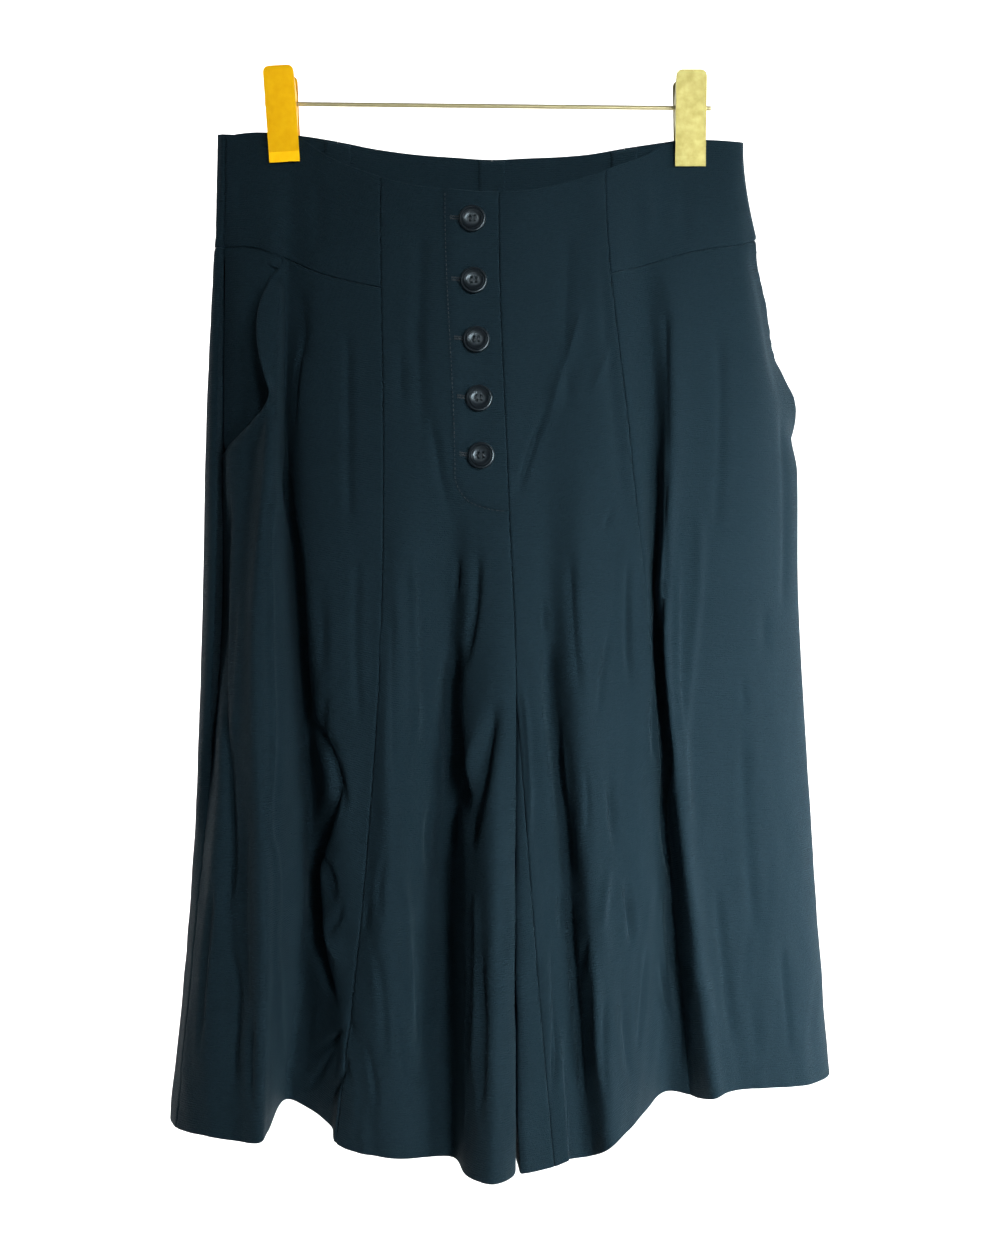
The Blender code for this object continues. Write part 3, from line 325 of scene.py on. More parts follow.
# Half width, height (negative for a trough), then points of its line as across and up
FRONT_CREASES = (
    # Left hip and leg, from the side seam inward
    (4.5, -4.6, (-171, -259), (-173, -312), (-173, -372), (-172, -418), (-168, -444), (-165, -484),
     (-164, -517), (-167, -550)),
    (4.0, -3.4, (-167, -565), (-161, -580), (-158, -603), (-160, -642), (-161, -669)),
    (6.0, 3.0, (-161, -325), (-159, -352), (-162, -398), (-164, -448)),
    (2.2, 2.0, (-138, -261), (-142, -300), (-140, -339), (-140, -365), (-137, -430), (-139, -495),
     (-135, -508), (-133, -534), (-134, -566), (-133, -599), (-133, -664)),
    (5.0, -5.2, (-136, -236), (-131, -283), (-124, -311), (-122, -352), (-120, -400), (-116, -427)),
    (6.0, -7.8, (-119, -415), (-100, -441), (-93, -461), (-97, -475), (-105, -495), (-110, -516),
     (-114, -543), (-113, -564), (-107, -588), (-101, -602), (-93, -619)),
    (9.0, 4.8, (-99, -495), (-103, -530), (-98, -564), (-93, -597)),
    (3.0, -2.8, (-90, -540), (-94, -556), (-100, -571)),
    (6.0, -2.8, (-108, -325), (-106, -352), (-106, -400)),
    (5.0, -3.2, (-103, -396), (-106, -420), (-105, -441)),
    (3.5, -3.0, (-93, -634), (-107, -663), (-119, -682)),
    (3.0, -2.5, (-132, -655), (-127, -688)),
    (8.0, -2.3, (-127, -118), (-123, -150), (-120, -190)),
    # Left centre, from the princess seam to the closure
    (2.5, -1.8, (-89, -640), (-83, -668)),
    (2.5, -1.5, (-87, -612), (-81, -634)),
    (3.0, -1.9, (-72, -532), (-75, -566)),
    (3.0, -1.9, (-57, -596), (-50, -640), (-46, -672)),
    (2.5, -1.5, (-43, -572), (-40, -609), (-39, -646)),
    (8.0, -2.3, (-44, -540), (-36, -610), (-34, -671)),
    (6.0, -1.8, (-47, -140), (-45, -188)),
    (6.0, -2.0, (-56, -162), (-55, -190), (-54, -216)),
    (5.0, -2.3, (-20, -286), (-27, -260), (-32, -232), (-37, -208)),
    (3.0, -3.4, (-15, -306), (-17, -342)),
    (4.5, -4.8, (-2, -300), (-3, -339), (-7, -365), (-12, -390)),
    (8.5, -10.0, (-17, -362), (-21, -404), (-19, -424), (-15, -451), (-12, -470), (-11, -494)),
    (8.0, -9.0, (12, -400), (5, -434), (0, -463), (-5, -489), (-7, -512)),
    (5.0, 2.8, (-1, -420), (-5, -445), (-8, -468)),
    # Right centre, from the closure to the princess seam
    (4.0, -3.4, (21, -277), (25, -262), (33, -234), (46, -200)),
    (6.0, 2.8, (42, -222), (55, -180), (67, -137)),
    (5.0, 1.9, (88, -154), (80, -180), (71, -205)),
    (3.0, -1.8, (88, -272), (79, -296)),
    (3.0, 2.3, (26, -386), (31, -411), (33, -444), (34, -471), (33, -500)),
    (3.0, 1.8, (29, -520), (32, -540), (31, -600), (34, -645)),
    (3.0, -2.3, (41, -334), (43, -368)),
    (7.0, -5.2, (44, -358), (46, -405), (50, -431), (54, -464), (58, -497), (61, -534)),
    (4.0, -4.8, (60, -524), (64, -583), (66, -603), (68, -629), (71, -662), (70, -680)),
    (3.0, -2.7, (54, -526), (56, -566)),
    (3.0, -2.3, (72, -552), (69, -592)),
    (4.0, -3.4, (85, -446), (87, -477), (90, -506)),
    (3.5, -5.1, (96, -518), (101, -550), (101, -570)),
    (4.0, 2.8, (87, -506), (82, -536), (81, -560)),
    (2.5, -2.3, (115, -388), (116, -450)),
    # Right hip and leg, from the deep valley to the side seam
    (5.0, -3.2, (122, -128), (122, -202), (123, -258)),
    (3.5, -5.0, (123, -235), (120, -297), (122, -318), (119, -345), (118, -365), (120, -392), (123, -420),
     (126, -447), (124, -474), (125, -494), (128, -515), (132, -536)),
    (6.0, -4.8, (127, -525), (132, -576), (137, -610), (138, -668)),
    (3.0, -2.7, (121, -572), (128, -608), (134, -630)),
    (5.0, 2.3, (145, -268), (146, -319), (142, -365), (136, -418), (136, -457), (140, -494)),
    (8.0, 1.9, (140, -568), (150, -595), (163, -628)),
    (3.0, -1.8, (176, -384), (178, -418)),
    (6.0, -1.5, (191, -330), (192, -382)),
    (7.0, -1.8, (184, -596), (188, -646)),
    # Small pulls between the larger creases
    (8.0, -6.8, (-113, -500), (-111, -540), (-108, -580)),
    (3.0, -3.2, (-97, -448), (-88, -470), (-92, -490)),
    (3.5, -3.5, (-108, -505), (-98, -520), (-95, -548)),
    (2.6, 2.2, (-104, -548), (-97, -572), (-90, -590)),
    (3.0, -3.0, (-84, -622), (-100, -640), (-113, -655)),
    (2.6, -2.7, (-82, -640), (-92, -665), (-104, -690)),
    (3.0, -2.7, (-76, -628), (-68, -652), (-66, -684)),
    (4.0, -2.4, (-70, -560), (-62, -600), (-60, -650)),
    (5.0, 2.4, (-50, -520), (-46, -570), (-44, -630)),
    (6.0, -2.7, (-60, -330), (-58, -400), (-56, -470)),
    (4.0, 2.2, (-46, -300), (-44, -370), (-42, -440)),
    (5.0, -2.4, (-92, -150), (-90, -230), (-88, -300)),
    (4.0, -2.2, (-82, -300), (-84, -360), (-80, -430)),
    (6.0, -3.0, (-154, -470), (-156, -540), (-151, -620)),
    (3.0, -3.2, (-176, -520), (-182, -580), (-185, -650)),
    (3.0, -2.7, (-146, -600), (-149, -640), (-146, -684)),
    (3.5, -3.0, (2, -560), (6, -620), (3, -684)),
    (3.0, 2.4, (-1, -520), (1, -590), (-2, -660)),
    (3.5, -3.2, (48, -560), (52, -610), (50, -668)),
    (3.0, -2.7, (84, -590), (82, -630), (86, -668)),
    (4.0, -3.5, (94, -590), (98, -620), (102, -660)),
    (2.6, -2.7, (112, -560), (110, -600), (106, -640)),
    (4.0, 2.7, (76, -560), (79, -610), (83, -660)),
    (5.0, -2.4, (58, -300), (60, -350), (66, -410)),
    (4.0, -2.4, (98, -300), (96, -350), (99, -400)),
    (3.0, -2.2, (86, -350), (80, -390), (76, -420)),
    (5.0, -2.2, (158, -150), (160, -220), (156, -300)),
    (6.0, -2.4, (176, -420), (180, -500), (188, -570)),
    (4.0, -2.7, (158, -520), (166, -590), (172, -640)),
    (3.0, -2.4, (204, -560), (209, -610), (212, -650)),
    (4.0, -1.9, (202, -200), (206, -280), (205, -350)),
    (6.0, -1.9, (-168, -36), (-167, -70), (-170, -100)),
    (7.0, -1.6, (-118, -40), (-112, -80), (-116, -112)),
    (7.0, -1.6, (138, -40), (134, -76), (137, -104)),
    (9.0, 1.9, (108, -46), (112, -80), (106, -112)),
    (7.0, -1.8, (-42, -80), (-44, -150), (-40, -240)),
    (7.0, -1.6, (58, -80), (54, -150), (57, -220)),
    (7.0, -5.4, (-16, -420), (-20, -470), (-16, -520)),
    (2.6, -2.4, (119, -236), (117, -290), (118, -340)),
    (3.0, 2.7, (131, -300), (130, -380), (134, -440)),
    (3.0, -3.0, (-121, -150), (-127, -190), (-128, -232)),
    (2.6, -2.4, (-103, -420), (-98, -436), (-88, -446)),
    (2.6, -2.4, (-60, -500), (-66, -530), (-63, -556)),
    (2.4, -2.2, (-33, -470), (-37, -500), (-35, -530)),
    (2.4, -2.2, (68, -440), (72, -470), (70, -500)),
    (2.4, 2.2, (54, -420), (58, -450), (60, -486)),
)
FRONT_YOKE_CUTS = {
    # Name: first and last fold line, flat size and area
    "front_yoke_left": ("side_seam_left", "princess_left", (0.120, 0.090), 0.0092),
    "front_yoke_right": ("princess_right", "side_seam_right", (0.125, 0.090), 0.0093),
}


def ease(start, end, value):
    """Smooth step from 0 at start to 1 at end."""
    share = np.clip((value - start) / (end - start), 0.0, 1.0)
    return share * share * (3 - 2 * share)


def through(levels, values, level):
    """Smooth values at many levels; they start level where the first level is the waist."""
    levels = np.asarray(levels, float)
    values = np.asarray(values, float)
    steps = np.diff(values) / np.diff(levels)
    first = 0.0 if levels[0] == 0.0 else steps[0]
    slopes = np.concatenate(([first], (steps[:-1] + steps[1:]) / 2, [steps[-1]]))
    i = np.clip(np.searchsorted(levels, level, side="right") - 1, 0, len(levels) - 2)
    width = levels[i + 1] - levels[i]
    t = (level - levels[i]) / width
    rise = t * t * (3 - 2 * t)
    lead = t * (1 - t) ** 2 * width * slopes[i]
    trail = t * t * (t - 1) * width * slopes[i + 1]
    return values[i] + (values[i + 1] - values[i]) * rise + lead + trail


def fold_line(name, level):
    """Points of a fold line at many levels."""
    levels = LEVELS
    if name in FRONT_FOLDS or name in SIDE_FOLDS:
        waist, yoke, hem, across, depth = FRONT_FOLDS.get(name) or SIDE_FOLDS[name]
        height = np.interp(level, (0, YOKE, 1), (waist, yoke, hem))
    elif name in BACK_FOLDS:
        waist, hem, across, depth = BACK_FOLDS[name]
        spread = through(LEVELS, BACK_SPREAD, level)
        return np.stack((across[0] + (across[1] - across[0]) * spread,
                         depth[0] + (depth[1] - depth[0]) * spread,
                         waist + (hem - waist) * level), axis=-1)
    else:
        fork, hem, across, depth = LEFT_LEG_FOLDS.get(name) or RIGHT_LEG_FOLDS[name]
        height = fork + (hem - fork) * (level - FORK) / (1 - FORK)
        levels = LEVELS[2:]
    return np.stack((through(levels, across, level), through(levels, depth, level), height), axis=-1)


def ring_lines(ring, level):
    """Points of all fold lines of a ring, a row for each level."""
    return np.stack([fold_line(name, level) for name in RINGS[ring]], axis=1)


def curve_at(points, places):
    """Points of each row's smooth closed curve at places counted in its points."""
    places = np.broadcast_to(places, (len(points), np.shape(places)[-1]))
    before = np.floor(places).astype(int)
    share = (places - before)[..., None]
    row = np.arange(len(points))[:, None]
    nearby = [points[row, (before + k) % points.shape[1]] for k in (-1, 0, 1, 2)]
    knots = [np.zeros_like(share)]
    for a, b in zip(nearby, nearby[1:]):
        gap = np.linalg.norm(b - a, axis=-1, keepdims=True)
        knots.append(knots[-1] + np.sqrt(np.maximum(gap, 1e-6)))
    t = knots[1] + share * (knots[2] - knots[1])

    def mix(a, b, i, j):
        return a + (b - a) * (t - knots[i]) / (knots[j] - knots[i])

    first, second, third = (mix(nearby[k], nearby[k + 1], k, k + 1) for k in range(3))
    return mix(mix(first, second, 0, 2), mix(second, third, 1, 3), 1, 2)


def keep_legs_apart(grid, ring, level):
    """Flatten the inner sides of the legs where they rest on each other."""
    level = np.asarray(level)[:, None]
    plane = through(LEVELS[2:], LEG_PLANE, level)
    plane = plane - through(LEVELS[2:], LEG_PLANE_LEAN, level) * (grid[..., 1] - LEG_PLANE_DEPTH)
    if ring == "leg_left":
        grid[..., 0] = np.minimum(grid[..., 0], plane - LEG_CLEARANCE)
    elif ring == "leg_right":
        grid[..., 0] = np.maximum(grid[..., 0], plane + LEG_CLEARANCE)
    return grid


def place_of(ring, name):
    """Place of a fold line on a ring; a leg's fork line stands in for the centre line."""
    return RINGS[ring].index(FORK_TWINS.get(name, {}).get(ring, name))


def places_between(ring, first, last):
    """Places of two fold lines, the second one after the first."""
    start = place_of(ring, first)
    end = place_of(ring, last)
    return start, end if end > start else end + len(RINGS[ring])


def lengths_along(points, places):
    """Lengths of each row's curve from the first of its places to every one."""
    steps = np.linalg.norm(np.diff(curve_at(points, places), axis=1), axis=2)
    return np.concatenate((np.zeros((len(points), 1)), np.cumsum(steps, axis=1)), axis=1)


def even_columns(points, first, last, count):
    """Places and distances of columns that lie evenly on each row, and closer beside both edges.

    One more column lies a margin beyond each edge.
    """
    fine = np.linspace(first - SPARE, last + SPARE, int((last - first + 2 * SPARE) * PLACE_SAMPLES))
    lengths = lengths_along(points, fine)
    start = np.array([np.interp(first, fine, row) for row in lengths])[:, None]
    width = np.array([np.interp(last, fine, row) for row in lengths])[:, None] - start
    beside = np.tile(BESIDE_SEAM, (len(points), 1))
    inner = np.linspace(0, 1, count - 2 * len(BESIDE_SEAM) + 2)[1:-1]
    spread = beside[:, -1:] + (width - 2 * beside[:, -1:]) * inner
    edge = 0 * width
    across = (edge - MARGIN, beside, spread, width - beside[:, ::-1], width + MARGIN)
    across = np.concatenate(across, axis=1)
    places = np.array([np.interp(*row, fine) for row in zip(start + across, lengths)])
    return places, across, width


def levels_between(top, bottom, step):
    """Levels of rows, evenly stepped and closer beside both edges."""
    beside = np.array(BESIDE_SEAM) / GARMENT_LENGTH
    count = int((bottom - top) * GARMENT_LENGTH / step)
    middle = np.linspace(top + beside[-1], bottom - beside[-1], count)
    return np.concatenate((top + beside[:-1], middle, bottom - beside[-2::-1]))


def outward_of(grid):
    """Unit directions out of the cloth at each point of a grid."""
    outward = np.cross(np.gradient(grid, axis=0), np.gradient(grid, axis=1))
    return outward / np.linalg.norm(outward, axis=2, keepdims=True)


def rounded(distance):
    """Share of the wall that is left near an edge, so that the edge is round."""
    share = np.clip(distance / EDGE_RADIUS, 0, 1)
    return np.maximum(np.sqrt(1 - (1 - share) ** 2), EDGE_WALL)


def seam_sink(distance):
    """How far the cloth turns in beside a seam."""
    return -SEAM_DIP * np.exp(-(distance / EDGE_RADIUS) ** 1.5)


def pucker(distance, down, tune):
    """Small uneven pulls along a seam, which die out a few millimetres away from it.

    A number under a length is the length of a wave, over two pi.
    """
    wave = np.sin(down / 1.9 + 2.3 * np.sin(down / 7.3 + tune) + tune)
    loud = 1 - PUCKER_CALM + PUCKER_CALM * np.sin(down / 23.0 + 1.7 * tune)
    return PUCKER_DEPTH * wave * loud * np.exp(-(distance / PUCKER_REACH) ** 2)


def rumpled(grid):
    """Small uneven ripples that run down the legs and grow toward the hem.

    A number under a length is the length of a wave, over two pi.
    """
    across, up = grid[..., 0], grid[..., 2]
    broad = np.sin(across / 4.1 + 1.9 * np.sin(up / 31.0 + across / 23.0))
    fine = np.sin(across / 2.3 + up / 19.0 + 2.2 * np.sin(up / 17.0 - across / 13.0))
    broad_patches = np.sin(across / 17.0 + up / 43.0)
    fine_patches = np.sin(up / 29.0 - across / 11.0)
    ripples = broad * broad_patches + FINE_RUMPLE * (fine * fine_patches)
    return RUMPLE * ripples * ease(*RUMPLED, up)


def pressed(grid, creases):
    """How far creases lift the cloth or push it in; their lines' corners are cut round twice."""
    lift = np.zeros(grid.shape[:2])
    for width, height, *line in creases:
        line = np.array(line, float)
        for _ in range(2):
            cut = np.stack((line[:-1] * 0.75 + line[1:] * 0.25, line[:-1] * 0.25 + line[1:] * 0.75), axis=1)
            line = np.concatenate((line[:1], cut.reshape(-1, 2), line[-1:]))
        reach = CREASE_REACH * width
        near = ((grid[..., 0] > line[:, 0].min() - reach) & (grid[..., 0] < line[:, 0].max() + reach)
                & (grid[..., 2] > line[:, 1].min() - reach) & (grid[..., 2] < line[:, 1].max() + reach))
        points = grid[near][:, ::2]
        steps = np.linalg.norm(np.diff(line, axis=0), axis=1)
        passed = np.concatenate(([0], np.cumsum(steps)))
        distance = np.full(len(points), np.inf)
        along = np.zeros(len(points))
        for start, end, done, step in zip(line, line[1:], passed, steps):
            share = np.clip((points - start) @ (end - start) / step ** 2, 0, 1)
            away = np.linalg.norm(points - start - share[:, None] * (end - start), axis=1)
            along = np.where(away < distance, done + share * step, along)
            distance = np.minimum(away, distance)
        fade = min(CREASE_FADE, passed[-1] * CREASE_ENDS)
        away = np.sqrt(distance ** 2 + CREASE_BOTTOM ** 2) / width
        shape = (1 - away) * np.exp(-CREASE_FALL * away ** 2)
        lift[near] += height * shape * ease(0, fade, along) * ease(0, fade, passed[-1] - along)
    return lift


def link_mesh(name, vertices, faces, material):
    """Smooth mesh object from points in millimetres."""
    mesh = bpy.data.meshes.new(name)
    mesh.from_pydata((np.asarray(vertices) * MM).tolist(), [], [list(face) for face in faces])
    mesh.materials.append(material)
    mesh.shade_smooth()
    piece = bpy.data.objects.new(name, mesh)
    bpy.context.collection.objects.link(piece)
    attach(piece, "root")
    return piece


def sew_shell(name, outer, inner, grain):
    """Closed shell of crepe between two grids of points, which are NaN where there is no cloth."""
    rows, columns = outer.shape[:2]
    there = ~np.isnan(outer[..., 0])
    number = np.arange(rows * columns).reshape(rows, columns)
    corners = np.stack((number[:-1, :-1], number[1:, :-1], number[1:, 1:], number[:-1, 1:]), axis=-1)
    whole = there[:-1, :-1] & there[1:, :-1] & there[1:, 1:] & there[:-1, 1:]
    quads = corners[whole]
    sides = np.concatenate([quads[:, [k, (k + 1) % 4]] for k in range(4)])
    size = rows * columns
    alone = ~np.isin(sides[:, 0] * size + sides[:, 1], sides[:, 1] * size + sides[:, 0])
    rim = sides[alone]
    used = np.unique(quads)
    renumber = np.full(size, -1)
    renumber[used] = np.arange(len(used))
    shift = len(used)
    quads = renumber[quads]
    rim = renumber[rim]
    faces = np.concatenate((quads, quads[:, ::-1] + shift,
                            np.stack((rim[:, 1], rim[:, 0], rim[:, 0] + shift, rim[:, 1] + shift), axis=1)))
    points = np.concatenate((outer.reshape(-1, 3)[used], inner.reshape(-1, 3)[used]))
    piece = link_mesh(name, points, faces.tolist(), CREPE)
    weave = piece.data.attributes.new("grain", "FLOAT_VECTOR", "POINT")
    lay = grain.reshape(-1, 3)[used] * MM
    weave.data.foreach_set("vector", np.concatenate((lay, lay)).ravel())
    return piece


def crepe_finish():
    """Black crepe: fine crosswise ribs, pebbled yarn, a soft blue-green nap."""
    crepe, tree = new_finish("black crepe")
    grain = add_node(tree, "ShaderNodeAttribute", {"attribute_name": "grain"}).outputs["Vector"]
    ribs = add_node(tree, "ShaderNodeTexWave", {"bands_direction": "Y"}, Vector=grain, Scale=205.0,
                    Distortion=3.0, Detail=2.0, Detail_Scale=1.4).outputs["Fac"]
    stretched = add_node(tree, "ShaderNodeMapping", Vector=grain, Scale=(0.3, 1.0, 1.0)).outputs["Vector"]
    yarn = noise(tree, stretched, 900.0, 3.0)
    relief = yarn
    for height, share in ((ribs, 0.28), (noise(tree, grain, 1250.0, 3.0), 1.0)):
        total = add_node(tree, "ShaderNodeMath", {"operation": "MULTIPLY_ADD"})
        tree.links.new(height, total.inputs[0])
        total.inputs[1].default_value = share
        tree.links.new(relief, total.inputs[2])
        relief = total.outputs["Value"]
    cloudy = noise(tree, grain, 22.0, 3.0)
    dyed = blend(tree, cloudy, (0.0038, 0.0095, 0.0130, 1), (0.0075, 0.0165, 0.0225, 1))
    shade(tree, Base_Color=blend(tree, yarn, dyed, (0.0120, 0.0250, 0.0340, 1)), Roughness=0.70,
          Specular_IOR_Level=0.12, Specular_Tint=(0.45, 0.80, 1.0, 1), Sheen_Weight=0.05,
          Sheen_Roughness=0.5, Sheen_Tint=(0.45, 0.78, 1.0, 1), Normal=bumps(tree, relief, 0.0008))
    return crepe


CREPE = crepe_finish()


def lay_cloth(lines, first, last, columns, ring="body", level=None):
    """Points and distances of cloth between two places of each row, with its margin."""
    places, across, width = even_columns(lines, first, last, columns)
    grid = curve_at(lines, places)
    if ring != "body":
        keep_legs_apart(grid, ring, level)
    return grid, across, width


def cut_out(grid, across, width):
    """Grid, outward directions, distances across and to both sides of laid cloth, without its margin."""
    own = slice(1, -1)
    return grid[:, own], outward_of(grid)[:, own], across[:, own], (across[:, own], width - across[:, own])


def sew_piece(name, grid, outward, across, rims, level, seams=(), lift=0.0, wall=HALF_WALL, hem=0.0,
              creases=()):
    """Shell of one cut piece.  rims are the distances to its left and right sides, and seams are
    the sides that sink and pucker; the others are only rounded off."""
    down = np.asarray(level)[:, None] * GARMENT_LENGTH
    top = down - down[0] + BESIDE_SEAM[0] + 0 * across
    bottom = down[-1] - down + BESIDE_SEAM[0] + 0 * across
    down = down + 0 * across
    raised = lift + 0 * across
    if creases:
        raised = raised + pressed(grid, creases) + rumpled(grid)
    share = 1 + 0 * across
    for tune, (side, distance) in enumerate(zip(SIDES, (*rims, top, bottom))):
        share = np.minimum(share, rounded(distance))
        if side in seams:
            along = down if side in ("left", "right") else across
            raised = raised + seam_sink(distance) + pucker(distance, along, tune + len(name))
    half = wall * share
    inner = raised - half - hem * ease(*HEM_DEPTH, bottom) * share
    grain = np.stack((across, down, 0 * across), axis=-1)
    outer = raised + half
    return sew_shell(name, grid + outward * outer[..., None], grid + outward * inner[..., None], grain)


def sew_yoke(name, first, last, flat, area, step, creases, clips):
    """Yoke between two fold lines."""
    levels = levels_between(0.0, YOKE, step)
    lines = ring_lines("body", levels)
    cloth = cut_out(*lay_cloth(lines, *places_between("body", first, last), int(flat[0] / MM / step)))
    yoke = sew_piece(name + "_cloth", *cloth, levels, ("left", "right", "bottom"), creases=creases)
    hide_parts(name)


for name, cut in FRONT_YOKE_CUTS.items():
    sew_yoke(name, *cut, FRONT_STEP, FRONT_CREASES, FRONT_CLIPS)


# Side fronts
# Long panels below the yokes.  The upper part of the outer edge is turned in as the free, curved
# mouth of a pocket, and below it the panel is sewn to the side back.
CROWDING = 12.0                                 # how close to the mouth the folds crowd up
CROWDED_EDGE = (4.0, 9.0)
CROWDED_SHARE = 0.55
MOUTH_BLEND = (YOKE, 0.14)                      # levels in which the mouth opens
# Where it starts on the row at the yoke seam, then its edge
MOUTH_LEFT = {
    "start": 4.5,
    "level": (0.115, 0.145, 0.17, 0.20, 0.225, 0.245, 0.263, 0.281, 0.30, 0.315, 0.325),
    "across": (-137, -146, -151, -152.5, -150, -145.5, -142, -149, -161, -173, -179),
    "depth": (-5, -12, -18, -23, -26, -29, -31, -26, -14, -3, 3),
}
MOUTH_RIGHT = {
    "start": 22.75,
    "level": (0.115, 0.138, 0.186, 0.238, 0.259, 0.277, 0.291, 0.314, 0.336, 0.36),
    "across": (184.5, 186.5, 194, 200.5, 207.5, 214, 216.5, 215.5, 210, 201),
    "depth": (-1, 1, 5, 9, 11, 12, 14, 19, 25, 29),
}
MOUTH_CLOSED = {"left": 0.325, "right": 0.36}
MOUTH_REJOIN = 0.27                             # level below which the right outline returns
SIDE_FRONT_CUTS = {
    # Name: leg, first and last fold line, columns, flat size and area
    "side_front_left": ("leg_left", "side_seam_left", "princess_left", 104, (0.230, 0.600), 0.102),
    "side_front_right": ("leg_right", "princess_right", "side_seam_right", 86, (0.190, 0.600), 0.094),
}


def mouth_at(mouth, level):
    """Across and depth of a mouth's edge."""
    return np.array([through(mouth["level"], mouth[key], level) for key in ("across", "depth")])


def open_left_mouth(points, level):
    """Draw the outer fold lines of one row in to the edge of the left pocket mouth.

    They are the row's first five: side seam, hip, pocket, ridge and ridge edge.  The valley is next.
    """
    closed = points.copy()
    seam, ridge, edge, valley = (closed[i, :2] for i in (0, 3, 4, 5))
    mouth = mouth_at(MOUTH_LEFT, level)
    near = mouth + (valley - mouth) * CROWDED_SHARE
    points[4, :2] = near + (edge - near) * ease(*CROWDED_EDGE, np.linalg.norm(edge - mouth))
    freedom = ease(0, CROWDING, ridge[0] - mouth[0])
    for i in range(4):
        loose = mouth + (closed[i, :2] - seam) / (ridge - seam) * (ridge - mouth)
        crowded = mouth + (points[4, :2] - mouth) * i / 4
        points[i, :2] = crowded + (loose - crowded) * freedom
    points[:5, 2] = np.interp(points[:5, 0], closed[:6, 0], closed[:6, 2])
    start = MOUTH_LEFT["start"]
    sewn = curve_at(closed[None], start + (5 - start) * np.arange(5) / 5)[0]
    points[:5] = sewn + (points[:5] - sewn) * ease(*MOUTH_BLEND, level)
    points[-1] = 2 * points[0] - points[1]


def open_right_mouth(points, level):
    """Draw the outer fold lines of one row in to the edge of the right pocket mouth."""
    closed = points.copy()
    seam = FRONT_NAMES.index("side_seam_right")
    points[seam, :2] = mouth_at(MOUTH_RIGHT, level)
    halfway = (closed[seam - 2] + points[seam]) / 2
    rejoined = ease(MOUTH_REJOIN, MOUTH_CLOSED["right"], level)
    points[seam - 1] = halfway + (closed[seam - 1] - halfway) * rejoined
    start = MOUTH_RIGHT["start"]
    sewn = curve_at(closed[None], ((seam - 2 + start) / 2, start))[0]
    points[seam - 1:seam + 1] = sewn + (points[seam - 1:seam + 1] - sewn) * ease(*MOUTH_BLEND, level)
    points[seam + 1] = 2 * points[seam] - points[seam - 1]


def with_mouths(lines, levels):
    """Fold lines of the body with both pocket mouths open."""
    for points, level in zip(lines, levels):
        if level < MOUTH_CLOSED["left"]:
            open_left_mouth(points, level)
        if level < MOUTH_CLOSED["right"]:
            open_right_mouth(points, level)
    return lines


def panel_levels(top, step):
    """Levels of a long panel's rows, one of them at the fork."""
    levels = levels_between(top, 1.0, step)
    levels[np.argmin(np.abs(levels - FORK))] = FORK
    return levels


def lay_panel(leg, first, last, levels, columns, mouths=False, inseam=None, extra=0):
    """Grid, outward directions, distances across and distances to both sides of a long panel.

    Above the fork it lies on the body, and below it on a leg, where a centre panel has a wing of
    extra columns that reaches past its centre line to the inseam.  The wing is NaN above the fork.
    """
    upper, lower = levels[levels < FORK], levels[levels >= FORK]
    to_fork = np.append(upper, FORK)
    body_lines, leg_lines = ring_lines("body", to_fork), ring_lines(leg, lower)
    if mouths:
        with_mouths(body_lines, upper)
    body, across, width = lay_cloth(body_lines, *places_between("body", first, last), columns)
    low, low_across, low_width = lay_cloth(
        leg_lines, *places_between(leg, first, last), columns, leg, lower)
    body += ease(*FORK_BLEND, to_fork)[:, None, None] * (low[0] - body[-1])
    body_out = outward_of(body)
    at_fork = body_out[-1]
    body, body_out, across, width = (rows[:-1] for rows in (body, body_out, across, width))
    left, right = across, width - across
    low_left, low_right = low_across, low_width - low_across
    shared = slice(None)
    if inseam:
        fading = SEAM_FADE[1] * ease(FORK - SEAM_FADE[0], FORK, upper)[:, None]
        wing_first = first.startswith("centre")
        ends = (inseam, first) if wing_first else (last, inseam)
        wing, wing_across, wing_width = lay_cloth(
            leg_lines, *places_between(leg, *ends), extra, leg, lower)
        kept = slice(1, None) if wing_first else slice(None, -1)
        empty = (extra + 1, 0) if wing_first else (0, extra + 1)
        body, body_out, across, left, right = (
            np.pad(rows[:, kept], ((0, 0), empty, (0, 0))[:rows.ndim], constant_values=np.nan)
            for rows in (body, body_out, across, left + fading, right + fading))
        at_fork, low, low_across = at_fork[kept], low[:, kept], low_across[:, kept]
        if wing_first:
            shared = slice(extra + 1, None)
            low = np.concatenate((wing[:, :-1], low), axis=1)
            low_across = np.concatenate((wing_across[:, :-1] - wing_width, low_across), axis=1)
            low_left, low_right = low_across + wing_width, low_width - low_across
        else:
            shared = slice(None, columns + 1)
            low = np.concatenate((low, wing[:, 1:]), axis=1)
            low_across = np.concatenate((low_across, wing_across[:, 1:] + low_width), axis=1)
            low_left, low_right = low_across, low_width + wing_width - low_across
    low_out = outward_of(low)
    low_out[0, shared] += at_fork
    low_out[0] /= np.linalg.norm(low_out[0], axis=1, keepdims=True)
    grid, outward, across, left, right = (
        np.concatenate(pair)[:, 1:-1] for pair in
        ((body, low), (body_out, low_out), (across, low_across), (left, low_left), (right, low_right)))
    return grid, outward, across, (left, right)


def sew_panel(name, leg, first, last, columns, flat, area, top, step, creases, holders, **shape):
    """Long panel between two fold lines, from a level down to the hem, where it is turned up."""
    levels = panel_levels(top, step)
    cloth = lay_panel(leg, first, last, levels, columns, **shape)
    seams = ("left", "right", "top") if top else ("left", "right")
    panel = sew_piece(name + "_cloth", *cloth, levels, seams, hem=HEM_WALL, creases=creases)
    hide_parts(name)


